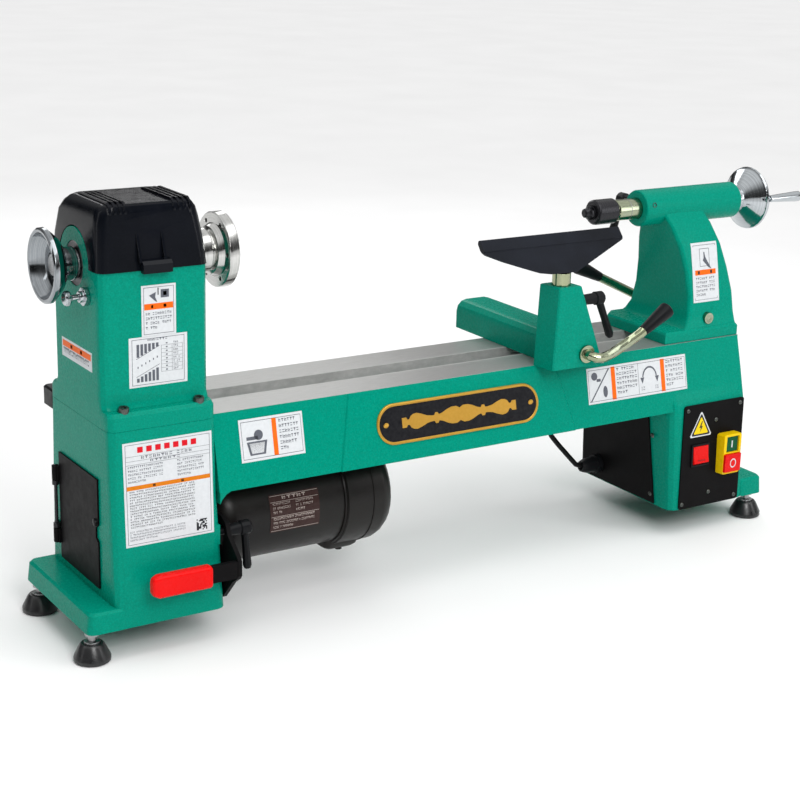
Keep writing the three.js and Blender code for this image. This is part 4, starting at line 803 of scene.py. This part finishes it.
# Tailstock notice follows the leaning front.
items = frame_lines(0.06, 0.04, 0.94, 0.96, 0.012, 0.006, 1)
items += [rect(0.1, 0.46, 0.9, 0.545, 3), rect(0.2, 0.475, 0.28, 0.53, 2), rect(0.68, 0.475, 0.76, 0.53, 2)]
items += text_rows(0.12, 0.08, 0.92, 0.42, 5, 1, 31, 0.075)
items += frame_lines(0.3, 0.6, 0.68, 0.9, 0.015, 0.008, 1)
items += [([(0.42, 0.7), (0.62, 0.58), (0.74, 0.55), (0.6, 0.68), (0.52, 0.76), (0.5, 0.84), (0.46, 0.84),
            (0.46, 0.74)], 1)]
decal("tail_notice", flat_y(797.5, 839.5, 291, 364, tail_front), items, "tailstock", grid=(2, 12), thick=0.5)


# ------------------------------------------------------------------ badge
def plate_outline(x0, x1, z0, z1, n=16):
    r = (z1 - z0) / 2
    pts = []
    for i in range(n + 1):
        t = -math.pi / 2 + math.pi * i / n
        pts.append((x1 - r + r * math.cos(t), (z0 + z1) / 2 + r * math.sin(t)))
    for i in range(n + 1):
        t = math.pi / 2 + math.pi * i / n
        pts.append((x0 + r + r * math.cos(t), (z0 + z1) / 2 + r * math.sin(t)))
    return pts


def badge(name, x0, x1, z0, z1):
    loops = [(0.0, -0.5, 0), (0.0, 1.3, 0), (0.6, 1.9, 0), (2.6, 1.9, 0), (3.1, 1.3, 1)]
    verts, faces, indices = [], [], []
    n = 0
    for inset, lift, _ in loops:
        pts = plate_outline(x0 + inset, x1 - inset, z0 + inset, z1 - inset)
        n = len(pts)
        verts += [P(x, bed_front(z, 1.6) - lift, z) for x, z in pts]
    for k in range(len(loops) - 1):
        for i in range(n):
            j = (i + 1) % n
            faces.append((k * n + i, k * n + j, (k + 1) * n + j, (k + 1) * n + i))
            indices.append(0)
    faces.append(tuple((len(loops) - 1) * n + i for i in range(n)))
    indices.append(1)
    return mesh_object(name, verts, faces, [GOLD, BADGE_BLACK], indices, "frame", True)


badge("bed_badge", 323, 545, 183, 228)


def raised_outline(name, pts, lift0, lift1, material):
    """A raised gold figure on the badge."""
    n = len(pts)
    verts = [P(x, bed_front(z, 1.6) - lift0, z) for x,
             z in pts] + [P(x, bed_front(z, 1.6) - lift1, z) for x, z in pts]
    faces = [(i, (i + 1) % n, n + (i + 1) % n, n + i) for i in range(n)] + [tuple(range(n, 2 * n))]
    return mesh_object(name, verts, faces, material, None, "frame")


def spindle_motif():
    """A turned baluster drawn side on, standing for the shop's work."""
    profile = [(0, 5.5), (7, 5.5), (9, 3), (12, 3), (15, 6.5), (19, 8.2), (25, 8.8), (33, 7), (42, 4.2),
               (50, 3.2),
               (54, 3.2), (56, 6), (60, 6), (62, 3.4), (68, 4.6), (76, 7.6), (84, 9.4), (92, 9.4), (98, 7)]
    profile += [(196 - a, r) for a, r in reversed(profile)]
    x0 = 434 - 98
    pts = [(x0 + a, 205.5 - r) for a, r in profile] + [(x0 + a, 205.5 + r) for a, r in reversed(profile)]
    pts = [(434 + (x - 434) * 0.8, z) for x, z in pts]
    clean = []
    for q in pts:
        if not clean or (abs(q[0] - clean[-1][0]) + abs(q[1] - clean[-1][1])) > 1e-3:
            clean.append(q)
    return clean


raised_outline("badge_motif", spindle_motif(), 1.2, 1.75, GOLD)
for k, x in enumerate((334.5, 533.5)):
    lathe(f"badge_rivet_{k}", [(0, 3.4), (0.9, 3.2), (1.6, 2.0), (1.8, 0)],
          (x, bed_front(205.5, 1.6) - 1.2, 205.5), (0, -1, -0.22), GOLD, "frame", 28)

# ------------------------------------------------------------------ controls
PANEL_Y = lambda z: -91 + 4.2 * (z - 34.5) / 115.5 - 2.3


def panel_place(x0, x1, z0, z1):
    return lambda u, v: (x0 + (x1 - x0) * u, PANEL_Y(z0 + (z1 - z0) * v), z0 + (z1 - z0) * v)


def triangle_sign(name, x0, x1, z0, z1):
    y_of = PANEL_Y
    cx, cz = (x0 + x1) / 2, z0 + (z1 - z0) / 3
    corners = [(x0, z0), (x1, z0), (cx, z1)]
    verts, faces, indices = [], [], []
    for k, (scale, lift, color) in enumerate(((1.0, 0.25, 0), (0.86, 0.35, 1), (0.66, 0.45, 2))):
        s = len(verts)
        for (ax, az), (bx, bz) in zip(corners, corners[1:] + corners[:1]):
            for t in (0.06, 0.94):
                x, z = ax + (bx - ax) * t, az + (bz - az) * t
                verts.append(P(cx + (x - cx) * scale, y_of(cz + (z - cz) * scale) - lift,
                               cz + (z - cz) * scale))
        faces.append(tuple(range(s, s + 6)))
        indices.append(color)
    bolt = [(0.06, 0.42), (-0.2, -0.06), (-0.02, -0.02), (-0.1, -0.36), (0.2, 0.1), (0.02, 0.06),
            (0.16, 0.42)]
    s = len(verts)
    for a, b in bolt:
        x, z = cx + a * 15, cz + b * 18 + 1
        verts.append(P(x, y_of(z) - 0.55, z))
    faces.append(tuple(range(s, s + len(bolt))))
    indices.append(1)
    return mesh_object(name, verts, faces, [PAPER, INK_DARK, WARN], indices, "frame")


triangle_sign("caution_triangle", 775.5, 812.5, 127.5, 161)
for k, (x, z) in enumerate(((772, 163), (858.5, 163), (819, 146), (812, 52), (768.5, 41.5), (856, 41))):
    socket_screw(f"panel_screw_{k}", (x, PANEL_Y(z), z), (0, -1, 0.036), "frame", 2.7, 1.5, DARK_SCREW,
                 "cross")
# Frame round the rocker.
verts, faces = [], []
outer, inner = (779.4, 808.6, 89.2, 118.0), (781.6, 806.4, 91.6, 115.8)
for (x0, x1, z0, z1), lift in ((outer, 0.1), (outer, 2.2), (inner, 2.6), (inner, -0.6)):
    verts += [P(x, PANEL_Y(z) - lift, z) for x, z in ((x0, z0), (x1, z0), (x1, z1), (x0, z1))]
for k in range(3):
    for i in range(4):
        j = (i + 1) % 4
        faces.append((4 * k + i, 4 * k + j, 4 * k + 4 + j, 4 * k + 4 + i))
rocker_frame = mesh_object("rocker_frame", verts, faces, BLACK, None, "frame")
soften(rocker_frame, 0.5)
# The bar and ring on the buttons.
decal("start_mark", lambda u, v: (836.6 + 2.0 * u, -102.0, 110 + 9 * v), [], "start", grid=(1, 1), thick=0.12)
verts = []
for r in (4.6, 6.0):
    for i in range(36):
        t = 2 * math.pi * i / 36
        verts.append(P(837 + r * 0.82 * math.cos(t), -107.15, 90.6 + r * math.sin(t)))
faces = [(i, (i + 1) % 36, 36 + (i + 1) % 36, 36 + i) for i in range(36)]
mesh_object("stop_mark", verts, faces, PAPER, None, "stop")
# Small marks on the rocker's face.
decal("rocker_mark_low", lambda u, v: (788 + 12 * u, -95.9, 96.5 + 2.0 * v),
      text_rows(0, 0, 1, 1, 1, 2, 41, 0.2, 0.9, False), "rocker", grid=(1, 1), palette=[RED, INK, INK_DARK],
      thick=0.05)

# ------------------------------------------------------------------ screws and small fittings
for k, x in enumerate((24, 108)):
    for s, side in ((-1, "front"), (1, "back")):
        socket_screw(f"head_cap_screw_{side}_{k}", (x, 71.2 * s, 260.8), (0, 0.12 * s, 1), "frame", 5.6, 8.4)
for k, (y, z) in enumerate(((-55, 126), (-55, 48))):
    x = 751.5 - 4 * (z - 34.5) / 115.5 - 2.7
    socket_screw(f"side_cover_screw_{k}", (x, y, z), (-1, 0, 0), "frame", 3.0, 1.5, DARK_SCREW, "cross")
lathe("tail_set_screw", [(-1, 3.0), (0.5, 3.0), (0.6, 2.4), (-0.6, 2.0), (-0.8, 0)], (752, -21.6, 412.5),
      (0, -0.94, 0.33), DARK_SCREW, "tailstock", 28)
socket_screw("cam_retaining_screw", (819, -59.5, 271), (0, -1, 0.1), "tailstock", 5.2, 2.6, ZINC)
socket_screw("wheel_set_screw", (-5.5, -17.2, 404), (0, -1, -0.1), "spindle_line", 2.6, 0.3, DARK_SCREW)
lathe("door_latch", [(0, 4.2), (1.6, 4.0), (2.2, 2.6), (2.3, 0)], (1.8, -44, 140), (-1, 0, 0), BLACK,
      "door", 24)

# Motor: rolled band joint, a band ring, nameplate on its round side.
MX = lambda x: (x, 0, 110)
lathe("motor_joint_ring", [(0, 57.6), (0.2, 59.6), (1.6, 60.2), (3.0, 59.6), (3.2, 57.6)], MX(295.0),
      (1, 0, 0), MOTOR, "motor", 96)
lathe("motor_band_ring", [(0, 62.0), (0.2, 62.9), (1.4, 62.9), (1.6, 62.0)], MX(331.0), (1, 0, 0), MOTOR,
      "motor", 96)
a0, a1 = math.radians(-14.5), math.radians(28)
items = frame_lines(0.02, 0.03, 0.98, 0.97, 0.008, 0.012, 1) + [rect(0.02, 0.8, 0.98, 0.812, 1),
        rect(0.02, 0.42, 0.98, 0.43, 1)]
items += text_rows(0.26, 0.84, 0.8, 0.94, 1, 1, 51, 0.1, 0.8, False) + text_rows(0.06, 0.46, 0.44, 0.78, 3,
        1, 52, 0.03)
items += text_rows(0.52, 0.46, 0.9, 0.78, 3, 1, 53, 0.03) + text_rows(0.06, 0.06, 0.9, 0.4, 3, 1, 54, 0.024)
decal("motor_nameplate", lambda u,
      v: (200.5 + 62 * u, -58.1 * math.cos(a0 + (a1 - a0) * v), 110 + 58.1 * math.sin(a0 + (a1 - a0) * v)),
      items, "motor", grid=(1, 16),
      palette=[ink("nameplate_brown", (0.035, 0.016, 0.014), 0.3), SILVER, INK_DARK], thick=0.25)

# Turned details: the plunger's knurled band, and rings on the quill and the spindle's collar.
lathe("plunger_knurl", [(0, 7.3)] + [(0.3 + 0.55 * k, 7.75 if k % 2 else 7.45) for k in range(7)] + [(4.2,
        7.3)], (-19.6, -32, 377.7), (1, 0, 0), CHROME, "plunger", 60)
lathe("quill_scale_ring", [(0, 13.0), (0.1, 13.12), (0.7, 13.12), (0.8, 13.0)], (724, 0, SPINDLE_Z),
      (1, 0, 0), BARE, "quill", 64)
lathe("spindle_collar_ring", [(0, 17.4), (0.2, 17.75), (1.2, 17.75), (1.4, 17.4)], (-1.0, 0, SPINDLE_Z),
      (1, 0, 0), CHROME, "spindle_line", 64)

# Floor.
floor_mesh = bpy.data.meshes.new("floor")
floor_mesh.from_pydata([(-60, -60, 0), (60, -60, 0), (60, 60, 0), (-60, 60, 0)], [], [(0, 1, 2, 3)])
floor = bpy.data.objects.new("floor", floor_mesh)
scene.collection.objects.link(floor)
fm = Nodes("studio_floor")
fm.color(fm.ramp(fm.noise(3, 2.0), [(0.3, (0.90, 0.90, 0.90)), (0.7, (0.93, 0.93, 0.93))]))
fm.set(Roughness=0.9)
floor.data.materials.append(fm.mat)
